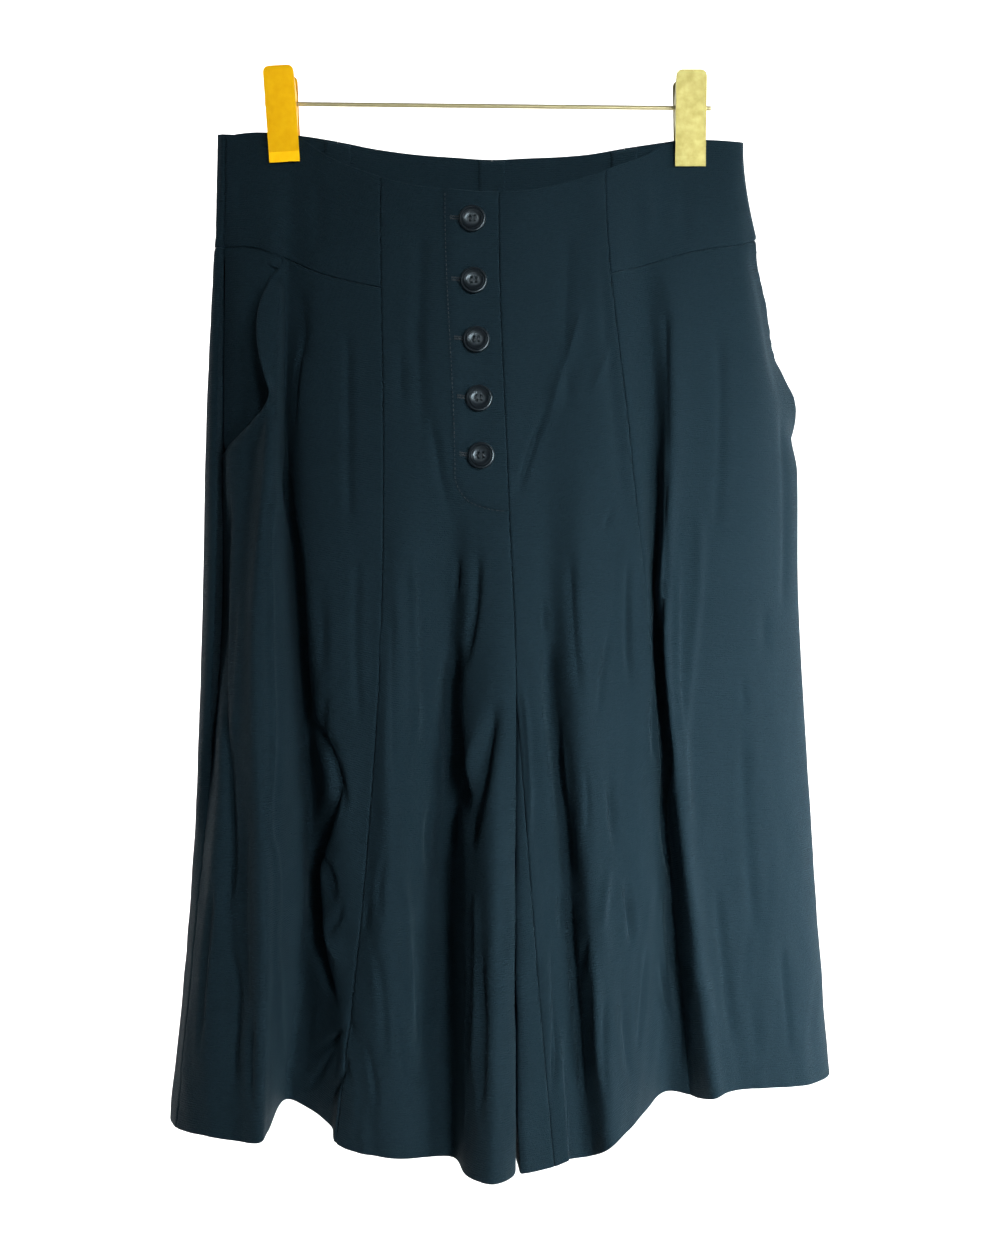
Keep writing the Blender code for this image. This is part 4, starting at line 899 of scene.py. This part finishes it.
for name, cut in SIDE_FRONT_CUTS.items():
    holders = [name.replace("side_front", "front_yoke") + "_cloth"]
    sew_panel(name, *cut, YOKE, FRONT_STEP, FRONT_CREASES, holders, mouths=True)


# Centre fronts
# Panels from the waist to the hem beside the closure.  Below the fork each reaches round the
# inside of its leg to the inseam.
CENTRE_FRONT_CUTS = {
    # Name: leg, first and last fold line, columns, flat size and area, then inseam and its columns
    "front_centre_left": (("leg_left", "princess_left", "centre_front", 92, (0.165, 0.660), 0.090),
                          ("inseam_left", 20)),
    "front_centre_right": (("leg_right", "centre_front", "princess_right", 100, (0.150, 0.660), 0.071),
                           ("inseam_right", 14)),
}
for name, (cut, (inseam, extra)) in CENTRE_FRONT_CUTS.items():
    sew_panel(name, *cut, 0.0, FRONT_STEP, FRONT_CREASES, FRONT_CLIPS, inseam=inseam, extra=extra)


# Pockets
# A facing that fills the mouth goes on as one layer of the bag behind the side front.  Both hang
# free below the yoke seam.
POCKET_END = 0.42                               # level of its lower edge
POCKET_LEVELS = (YOKE, 0.20, 0.30, POCKET_END)
POCKET_ROOM = 0.9                               # between its upper edge and the yoke seam
POCKET_COLUMNS = 30
POCKET_SHY = 0.08                               # how short of the side seam it ends, in places
POCKET_LEFT = {
    # Name: fold line that gives the heights, then across and depth at the four levels
    "facing_edge": ("hip_left", (-167, -167, -167, -166), (-5.5, -7, -3, 0)),
    "facing": ("pocket_left", (-156, -157, -157, -156), (-7, -8.5, -5, -2)),
    "facing_turn": ("ridge_left", (-146, -147, -148, -146), (-8.5, -6, -2.5, -0.5)),
    "bag_turn": ("valley_left", (-133, -136, -137, -131), (2, 3.2, 3.7, 8)),
    "bag": ("middle_left", (-120, -120, -120, -112), (3.5, 6, 7, 10)),
    "bag_end": ("middle_left", (-107, -106, -106, -98), (4, 7, 8, 11)),
}
POCKET_RIGHT = {
    "bag_end": ("middle_right", (134, 140, 146, 150), (3, 2, -2, 0)),
    "bag": ("hip_right", (148, 154, 160, 162), (1, -1, -6, -4)),
    "bag_turn": ("hip_right", (164, 171, 176, 178), (0, -2, -5, -4)),
    "facing_turn": ("edge_right", (177, 185, 191, 192), (-1.5, 0, 0, 1)),
    "facing": ("edge_right", (182.5, 191, 200, 199), (3, 7, 8, 9)),
    "facing_edge": ("outline_right", (176, 188, 199, 198), (7, 14, 18, 18)),
}
POCKET_TUCK_LEVELS = (0.31, 0.335)
# Across and depth by which its side goes in where the mouth ends
POCKET_TUCK = {"side_seam_left": (5.0, 1.5), "side_seam_right": (-5.0, -5.0)}
POCKET_CUTS = {
    "pocket_left": (POCKET_LEFT, "side_seam_left", (0.080, 0.210), 0.0150),
    "pocket_right": (POCKET_RIGHT, "side_seam_right", (0.080, 0.210), 0.0150),
}
for name, (table, seam, flat, area) in POCKET_CUTS.items():
    levels = levels_between(YOKE + POCKET_ROOM / GARMENT_LENGTH, POCKET_END, HIDDEN_STEP)
    side = fold_line(seam, levels)
    side[:, :2] += np.array(POCKET_TUCK[seam]) * ease(*POCKET_TUCK_LEVELS, levels)[:, None]
    lines = [np.stack((through(POCKET_LEVELS, across, levels), through(POCKET_LEVELS, depth, levels),
                       fold_line(height, levels)[:, 2]), axis=-1)
             for height, across, depth in table.values()]
    seam_first = seam == "side_seam_left"
    lines = [side, *lines] if seam_first else [*lines, side]
    lines = [3 * lines[0] - 2 * lines[1], 2 * lines[0] - lines[1], *lines,
             2 * lines[-1] - lines[-2], 3 * lines[-1] - 2 * lines[-2]]
    ends = (2 + POCKET_SHY, len(lines) - 3) if seam_first else (2, len(lines) - 3 - POCKET_SHY)
    cloth = cut_out(*lay_cloth(np.stack(lines, axis=1), *ends, POCKET_COLUMNS))
    bag = sew_piece(name + "_cloth", *cloth, levels)
    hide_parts(name)


# Backs
# Yokes, side panels and centre panels as in front, sewn to the fronts at the side seams and the
# inseams, and to each other down the centre.
BACK_CREASES = (
    # Right leg, from the side seam to the centre
    (6.0, -4.9, (168, -300), (172, -360), (170, -430), (176, -500)),
    (3.0, -2.7, (150, -240), (146, -300), (150, -352)),
    (3.5, -3.5, (196, -540), (200, -600), (197, -648)),
    (5.0, -5.9, (120, -380), (124, -440), (118, -500), (126, -560)),
    (3.0, 3.0, (134, -430), (138, -500), (133, -570)),
    (3.5, -3.5, (146, -560), (141, -610), (147, -658)),
    (8.0, -2.7, (100, -120), (103, -170), (98, -215)),
    (4.0, -4.3, (84, -250), (76, -310), (66, -360), (52, -400)),
    (4.0, -3.5, (60, -262), (48, -318), (38, -360)),
    (3.5, -3.2, (30, -330), (42, -380), (58, -430)),
    (2.6, -2.7, (70, -560), (76, -620), (73, -672)),
    (5.0, -4.9, (92, -470), (88, -530), (95, -590)),
    # Left leg, from the centre to the side seam
    (3.5, -3.5, (-30, -560), (-36, -620), (-31, -680)),
    (4.0, -3.8, (-60, -256), (-48, -312), (-38, -366)),
    (4.5, -4.3, (-88, -244), (-80, -300), (-66, -352), (-50, -396)),
    (5.0, -4.6, (-62, -430), (-56, -490), (-63, -560)),
    (6.0, -6.5, (-100, -420), (-94, -470), (-102, -530), (-98, -600)),
    (3.0, 3.0, (-112, -440), (-116, -500), (-110, -560)),
    (7.0, -2.7, (-120, -110), (-124, -170), (-120, -220)),
    (3.0, -3.0, (-128, -600), (-122, -650), (-126, -684)),
    (5.0, -4.9, (-150, -330), (-154, -400), (-149, -470), (-153, -540)),
    (3.0, -3.0, (-172, -420), (-176, -500), (-173, -580)),
)
BACK_YOKE_CUTS = {
    "back_yoke_right": ("side_seam_right", "back_princess_right", (0.080, 0.090), 0.0052),
    "back_yoke_left": ("back_princess_left", "side_seam_left", (0.100, 0.090), 0.0072),
}
SIDE_BACK_CUTS = {
    "side_back_right": ("leg_right", "side_seam_right", "back_princess_right", 40, (0.130, 0.600), 0.064),
    "side_back_left": ("leg_left", "back_princess_left", "side_seam_left", 42, (0.155, 0.600), 0.079),
}
CENTRE_BACK_CUTS = {
    "back_centre_right": (("leg_right", "back_princess_right", "centre_back", 42, (0.230, 0.690), 0.103),
                          ("inseam_right", 36)),
    "back_centre_left": (("leg_left", "centre_back", "back_princess_left", 52, (0.260, 0.690), 0.119),
                         ("inseam_left", 34)),
}
for name, cut in BACK_YOKE_CUTS.items():
    sew_yoke(name, *cut, HIDDEN_STEP, BACK_CREASES, BACK_CLIPS)
for name, cut in SIDE_BACK_CUTS.items():
    holders = [name.replace("side_back", "back_yoke") + "_cloth"]
    sew_panel(name, *cut, YOKE, HIDDEN_STEP, BACK_CREASES, holders)
for name, (cut, (inseam, extra)) in CENTRE_BACK_CUTS.items():
    sew_panel(name, *cut, 0.0, HIDDEN_STEP, BACK_CREASES, BACK_CLIPS, inseam=inseam, extra=extra)


# Seam allowances
# Behind every seam the edges of its two pieces are pressed open, in one strip that reaches 9 mm to
# each side of the seam.
ALLOWANCE = 9.0
ALLOWANCE_LIFT = -1.35
ALLOWANCE_WALL = 0.25                           # half its thickness, pressed flat
ALLOWANCE_COLUMNS = np.linspace(-ALLOWANCE, ALLOWANCE, 9)
YOKE_SEAM_COLUMNS = 40
BESIDE_REACH = 1.5                              # places to each side of a line that are measured
BESIDE_SAMPLES = 60
LONG_SEAMS = {
    # Name: fold line, leg, levels, whether in front, flat length
    "princess_left": ("princess_left", "leg_left", (0.002, 0.998), True, 0.655),
    "princess_right": ("princess_right", "leg_right", (0.002, 0.998), True, 0.625),
    "centre_front": ("centre_front", None, (0.335, 0.498), True, 0.115),
    "side_left": ("side_seam_left", "leg_left", (0.335, 0.998), False, 0.450),
    "side_right": ("side_seam_right", "leg_right", (0.370, 0.998), False, 0.410),
    "back_princess_right": ("back_princess_right", "leg_right", (0.002, 0.998), False, 0.650),
    "centre_back": ("centre_back", None, (0.002, 0.498), False, 0.330),
    "back_princess_left": ("back_princess_left", "leg_left", (0.002, 0.998), False, 0.670),
    "inseam_left": (None, "leg_left", (0.502, 0.998), False, 0.310),
    "inseam_right": (None, "leg_right", (0.502, 0.998), False, 0.310),
}


def beside_line(lines, place):
    """Points of each row at the strip's distances from one of its places."""
    fine = place + np.linspace(-BESIDE_REACH, BESIDE_REACH, 2 * BESIDE_SAMPLES + 1)
    lengths = lengths_along(lines, fine)
    lengths -= lengths[:, BESIDE_SAMPLES, None]
    return curve_at(lines, np.array([np.interp(ALLOWANCE_COLUMNS, row, fine) for row in lengths]))


for name, (line, leg, ends, in_front, length) in LONG_SEAMS.items():
    levels = np.linspace(*ends, int((ends[1] - ends[0]) * GARMENT_LENGTH / HIDDEN_STEP))
    upper, lower = levels[levels < FORK], levels[levels >= FORK]
    parts = []
    if len(upper):
        parts.append(beside_line(ring_lines("body", upper), place_of("body", line)))
    if len(lower):
        part = beside_line(ring_lines(leg, lower), place_of(leg, line or name))
        parts.append(keep_legs_apart(part, leg, lower))
    grid = np.concatenate(parts)
    across = ALLOWANCE_COLUMNS + 0 * levels[:, None]
    strip = sew_piece(name + "_allowance", grid, outward_of(grid), across,
                      (across + ALLOWANCE, ALLOWANCE - across), levels, lift=ALLOWANCE_LIFT,
                      wall=ALLOWANCE_WALL, creases=FRONT_CREASES if in_front else BACK_CREASES)
    holder = ("front" if in_front else "back") + (leg or "leg_left").replace("leg", "_centre") + "_cloth"
for name, (first, last, flat, _) in {**FRONT_YOKE_CUTS, **BACK_YOKE_CUTS}.items():
    levels = YOKE + ALLOWANCE_COLUMNS / GARMENT_LENGTH
    lines = ring_lines("body", levels)
    cloth = cut_out(*lay_cloth(lines, *places_between("body", first, last), YOKE_SEAM_COLUMNS))
    strip = sew_piece(name.replace("yoke", "yoke_seam") + "_allowance", *cloth, levels, lift=ALLOWANCE_LIFT,
                      wall=ALLOWANCE_WALL)


# Fly
# The left front lies over the right one.  Its edge is a doubled band whose outer side is sewn down
# with a stitched line that curves round to the centre like a J, and a strip closes it from behind.
FLY_CORNER = 0.30                               # level where the band's outer side turns in
FLY_END = 0.3335
BAND_LIFT = 0.62
BAND_WALL = (0.25, 1.35)                        # its thickness at the stitched line and beyond it
BAND_SWELL = 6.0
BAND_EDGE = 0.1                                 # keeps its edges from thinning out
STRIP_LIFT = -1.6
STRIP_COLUMNS = 22
STITCH_LENGTH = 3.0
STITCH_SHY = 0.08                               # how far inside the band the line runs, in places
STITCH_LIFT = 0.35                              # above the band's back
STITCH_STATIONS = 7
STITCH_SPAN = (0.06, 0.94)                      # share of its length that its thread takes up
THREAD_RADIUS = 0.24
THREAD_SIDES = 8
BAND_FIRST, BAND_LAST = places_between("body", "band_edge", "centre_front")
BAND_COLUMNS = np.array([0, 0.01, 0.03, *np.linspace(0.07, 0.93, 16), 0.97, 0.985, 1.0])


def fly_start(level):
    """Share of the way from the band's outer fold line to the centre front where the band begins."""
    turn = np.clip((level - FLY_CORNER) / (FLY_END - FLY_CORNER), 0, 1)
    return 1 - np.sqrt(1 - turn * turn)


def fly_curve(first, last, count):
    """Levels round the J, from one turn in degrees to another."""
    return FLY_CORNER + (FLY_END - FLY_CORNER) * np.sin(np.radians(np.linspace(first, last, count)))


def fly_place(level):
    """Place where the band begins."""
    return BAND_FIRST + (BAND_LAST - BAND_FIRST) * fly_start(level)


def cloth_at(ring, place, level):
    """Points and outward directions of the cloth at paired places and levels."""
    place, level = np.asarray(place, float), np.asarray(level, float)
    lines = ring_lines(ring, level)
    middle = curve_at(lines, place[:, None])[:, 0]
    before, after = (curve_at(lines, place[:, None] + step)[:, 0] for step in (-0.02, 0.02))
    down = curve_at(ring_lines(ring, level + 0.002), place[:, None])[:, 0] - middle
    outward = np.cross(down, after - before)
    return middle, outward / np.linalg.norm(outward, axis=1, keepdims=True)


def add_stitch(vertices, faces, middle, up, radius=THREAD_RADIUS, bow=0.35):
    """One stitch along its stations, bowed up between its ends."""
    side = np.cross(up, np.gradient(middle, axis=0))
    side /= np.linalg.norm(side, axis=1, keepdims=True)
    arch = np.sin(np.linspace(0, math.pi, STITCH_STATIONS))[:, None]
    middle = middle + up * bow * (np.sqrt(arch) - 1)
    first = len(vertices)
    starts = [first + STITCH_STATIONS * k for k in range(THREAD_SIDES)]
    for turn in np.linspace(0, 2 * math.pi, THREAD_SIDES, endpoint=False):
        around = up * math.cos(turn) + side * math.sin(turn)
        vertices.extend(middle + around * radius * (0.5 + 0.5 * arch))
    for one, after in zip(starts, starts[1:] + starts[:1]):
        for station in range(STITCH_STATIONS - 1):
            faces.append((one + station, after + station, after + station + 1, one + station + 1))
    faces.append(starts[::-1])
    faces.append([one + STITCH_STATIONS - 1 for one in starts])


def sew_stitches(name, points, outward, lift):
    """Row of short stitches along a line of points, each dipping into the cloth at its ends."""
    steps = np.concatenate(([0], np.cumsum(np.linalg.norm(np.diff(points, axis=0), axis=1))))
    vertices, faces = [], []
    for start in np.arange(0, steps[-1] - STITCH_LENGTH, STITCH_LENGTH):
        stations = start + STITCH_LENGTH * np.linspace(*STITCH_SPAN, STITCH_STATIONS)
        middle = np.stack([np.interp(stations, steps, points[:, k]) for k in range(3)], axis=1)
        up = np.stack([np.interp(stations, steps, outward[:, k]) for k in range(3)], axis=1)
        up /= np.linalg.norm(up, axis=1, keepdims=True)
        add_stitch(vertices, faces, middle + up * lift, up)
    return link_mesh(name, np.array(vertices), faces, THREAD)


def thread_finish():
    """Black sewing thread with a slight gloss."""
    thread, tree = new_finish("black thread")
    twist = add_node(tree, "ShaderNodeTexWave", {"bands_direction": "DIAGONAL"}, Vector=place_on(tree),
                     Scale=500.0).outputs["Fac"]
    shade(tree, Base_Color=blend(tree, twist, (0.009, 0.014, 0.018, 1), (0.032, 0.043, 0.050, 1)),
          Roughness=0.42, Normal=bumps(tree, twist, 0.0001))
    return thread


THREAD = thread_finish()
# The rows of the J go on where the straight ones leave off, without those close to an edge
levels = np.concatenate((levels_between(0.0, FLY_CORNER, FRONT_STEP)[:-4], fly_curve(0, 85, 16)))
starts = fly_place(levels)[:, None]
grid = curve_at(ring_lines("body", levels), starts + (BAND_LAST - starts) * BAND_COLUMNS)
outward = outward_of(grid)
width = np.linalg.norm(grid[:, -1] - grid[:, 0], axis=1)[:, None]
from_stitches, from_edge = width * BAND_COLUMNS, width * (1 - BAND_COLUMNS)
from_waist = levels[:, None] * GARMENT_LENGTH
grain = np.stack((from_stitches, from_waist + 0 * from_stitches, 0 * from_stitches), axis=-1)
thick = BAND_WALL[0] + (BAND_WALL[1] - BAND_WALL[0]) * ease(0, BAND_SWELL, from_stitches)
thick = thick * rounded(from_edge + BAND_EDGE) * rounded(from_waist + BAND_EDGE)
outer = grid + outward * (BAND_LIFT + thick)[..., None]
band = sew_shell("fly_band", outer, grid + outward * BAND_LIFT, grain)
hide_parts("fly_placket")

# The strip's sides lie half way between two fold lines
strip_places = (place_of("body", name) + 0.5 for name in ("leg_flank", "front_rise"))
levels = levels_between(0.0, FLY_END, HIDDEN_STEP)
cloth = cut_out(*lay_cloth(ring_lines("body", levels), *strip_places, STRIP_COLUMNS))
underlap = sew_piece("fly_strip", *cloth, levels, lift=STRIP_LIFT)
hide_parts("fly_underlap")

down = np.concatenate((np.linspace(0.004, FLY_CORNER, 120), fly_curve(1, 84, 60)))
points, outward = cloth_at("body", fly_place(down) + STITCH_SHY, down)
stitching = sew_stitches("fly_stitching", points, outward, BAND_LIFT + STITCH_LIFT)


# Buttons
# Five black resin buttons with a rim, a groove and a dished middle, sewn on through four holes.
# Each comes through a buttonhole that is worked beside it with close stitches.
BUTTON_LEVELS = (0.030, 0.095, 0.157, 0.218, 0.277)
BUTTON_PLACE = 0.70                             # past the fold line beside it
BUTTON_LIFT = 2.4
BUTTON_FOOT = 0.6                               # places to each side that it has to stand clear of
BUTTON_PROFILE = ((0.0, 1.95), (3.0, 1.9), (5.2, 1.98), (5.6, 2.25), (6.0, 2.8), (6.35, 2.95), (6.65, 2.75),
                  (6.9, 2.1), (7.1, 1.9), (7.35, 2.05), (7.6, 2.5), (7.9, 2.7), (8.4, 2.6), (8.8, 2.15),
                  (9.0, 1.6), (8.9, 0.9), (8.6, 0.3), (8.2, 0.0), (0.0, 0.0))
BUTTON_SIDES = 64
HOLE_RADIUS = 0.9
HOLE_OFFSET = 2.1
HOLE_SIDES = 20
DRILL_PROFILE = ((0, 5), (HOLE_RADIUS, 5), (HOLE_RADIUS, -2), (0, -2))
BAR_HEIGHT = 2.5                                # of the threads that hold the button, above its back
BAR_RADIUS = 0.33
BAR_BOW = 0.9
STRAND = 0.3                                    # from the middle of a hole to each of its two threads
BUTTONHOLE = (-16.5, 3.0)                       # its two ends beside the button's middle
BUTTONHOLE_STITCH = (0.15, 1.5)                 # from the slit outward
BUTTONHOLE_PITCH = 0.55
BUTTONHOLE_LIFT = 2.15


def turned(profile, sides):
    """Vertices and faces turned round Z from (radius, height) pairs, which start and end on the axis."""
    vertices = [(0.0, 0.0, profile[0][1])]
    for radius, height in profile[1:-1]:
        vertices += [(radius * math.cos(a), radius * math.sin(a), height)
                     for a in np.linspace(0, 2 * math.pi, sides, endpoint=False)]
    vertices.append((0.0, 0.0, profile[-1][1]))
    faces = []
    for k in range(sides):
        after = (k + 1) % sides
        faces.append((0, 1 + k, 1 + after))
        for ring in range(len(profile) - 3):
            low = 1 + ring * sides
            faces.append((low + k, low + sides + k, low + sides + after, low + after))
        low = 1 + (len(profile) - 3) * sides
        faces.append((low + k, len(vertices) - 1, low + after))
    return vertices, faces


def resin_finish():
    """Polished black resin."""
    resin, tree = new_finish("black resin")
    cloud = noise(tree, place_on(tree), 260.0, 3.0)
    shade(tree, Base_Color=blend(tree, cloud, (0.003, 0.0045, 0.006, 1), (0.009, 0.013, 0.017, 1)),
          Roughness=0.31, Specular_IOR_Level=0.5, Specular_Tint=(0.75, 0.92, 1.0, 1),
          Normal=bumps(tree, cloud, 0.00005))
    return resin


def button_mesh(resin):
    """One button, its back at height 0, with its four holes cut through."""
    vertices, faces = turned(BUTTON_PROFILE, BUTTON_SIDES)
    button = link_mesh("button_blank", vertices, faces, resin)
    drills = []
    for angle in (45, 135, 225, 315):
        x, y = (HOLE_OFFSET * f(math.radians(angle)) for f in (math.cos, math.sin))
        body, sides = turned(DRILL_PROFILE, HOLE_SIDES)
        drills.append(link_mesh("drill", np.array(body) + (x, y, 0), sides, resin))
        cut = button.modifiers.new("hole", "BOOLEAN")
        cut.object = drills[-1]
    made = bpy.data.meshes.new_from_object(button.evaluated_get(bpy.context.evaluated_depsgraph_get()))
    made.set_sharp_from_angle(angle=math.radians(35))
    for tool in (button, *drills):
        bpy.data.objects.remove(tool)
    return made


BUTTON = button_mesh(resin_finish())
button_place = place_of("body", "leg_flank") + BUTTON_PLACE
for number, level in enumerate(BUTTON_LEVELS, start=1):
    (middle,), (up,) = cloth_at("body", [button_place], [level])
    beside, _ = cloth_at("body", button_place + BUTTON_FOOT * np.arange(-1, 2), [level] * 3)
    rise = max((beside - middle) @ up)
    (below,), _ = cloth_at("body", [button_place], [level + 0.01])
    sideways = np.cross(middle - below, up)
    sideways /= np.linalg.norm(sideways)
    turn_axes = (sideways, np.cross(up, sideways), up)
    turn = Matrix(turn_axes).transposed().to_4x4()
    fold_width = np.linalg.norm(beside[2] - beside[0]) / (2 * BUTTON_FOOT)
    button = bpy.data.objects.new(f"resin_button_{number}", BUTTON)
    button.matrix_world = Matrix.Translation(Vector(middle + up * (BUTTON_LIFT + rise)) * MM) @ turn
    bpy.context.collection.objects.link(button)
    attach(button, "root")
    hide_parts(f"button_{number}")

    vertices, faces = [], []
    foot = middle + up * (BUTTON_LIFT + rise + BAR_HEIGHT)
    offset = HOLE_OFFSET * math.sqrt(0.5)
    for side in (-offset, offset):
        for strand in (-STRAND, STRAND):
            run = np.linspace(-offset - STRAND, offset + STRAND, STITCH_STATIONS)[:, None] * turn_axes[1]
            path = foot + run + turn_axes[0] * (side + strand)
            add_stitch(vertices, faces, path, up + 0 * run, BAR_RADIUS, BAR_BOW)
    for start in np.arange(*BUTTONHOLE, BUTTONHOLE_PITCH):
        for side in (-1, 1):
            run = side * np.linspace(*BUTTONHOLE_STITCH, STITCH_STATIONS)[:, None] * turn_axes[1]
            (spot,), _ = cloth_at("body", [button_place + start / fold_width], [level])
            add_stitch(vertices, faces, spot + up * BUTTONHOLE_LIFT + run, up + 0 * run)
    sewn = link_mesh(f"button_thread_{number}", np.array(vertices), faces, THREAD)


# Hanger
# A thin gold rod carries two clips.  Each clip is two bent plates that turn on the rod against a
# spring and grip the waist between their lower ends.
def gold_finish(name, dark, light):
    """Brushed plating, mottled darker and redder in places."""
    gold, tree = new_finish(name)
    place = place_on(tree)
    blotch = noise(tree, place, 180.0, 4.0)
    rough = add_node(tree, "ShaderNodeMapRange", Value=blotch, To_Min=0.55, To_Max=0.40).outputs["Result"]
    streaked = add_node(tree, "ShaderNodeMapping", Vector=place, Scale=(1.0, 1.0, 0.08)).outputs["Vector"]
    brush = noise(tree, streaked, 2600.0, 2.0)
    shade(tree, Base_Color=blend(tree, blotch, (*dark, 1), (*light, 1)), Metallic=1.0, Roughness=rough,
          Normal=bumps(tree, brush, 0.00006))
    return gold


# Painted light: the left clips' copy of the gold is brighter and oranger than the others, standing in for
# light that their dim place lacks.
BRIGHTENED_GOLD = gold_finish("brushed gold", (0.86, 0.42, 0.004), (1.0, 0.60, 0.012))
# Painted highlight: the rod's copy of the gold is pale, standing in for the glare that washes the thin rod
# out.
GLARE_PALE_ROD_GOLD = gold_finish("rod gold paled as painted glare", (0.62, 0.54, 0.28), (0.80, 0.72, 0.42))
# Painted light: the right clips' copy of the gold is darker, a painted shade that holds back the bright
# lamps on it, and paler, a painted glare that washes it out.
GLARE_DIMMED_GOLD = gold_finish("gold dimmed and paled as painted shade and glare", (0.20, 0.16, 0.04), (0.36, 0.33, 0.13))
# The rod and the clips are one gold. Each gets its own copy, coloured for the light on it: painted light.
for name in ("hanger_rod", "clip_left_front_jaw", "clip_left_back_jaw", "clip_left_sleeve",
             "clip_right_front_jaw", "clip_right_back_jaw", "clip_right_sleeve"):
    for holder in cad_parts[name].material_slots:
        holder.material = GLARE_PALE_ROD_GOLD if "rod" in name else BRIGHTENED_GOLD if "left" in name else GLARE_DIMMED_GOLD
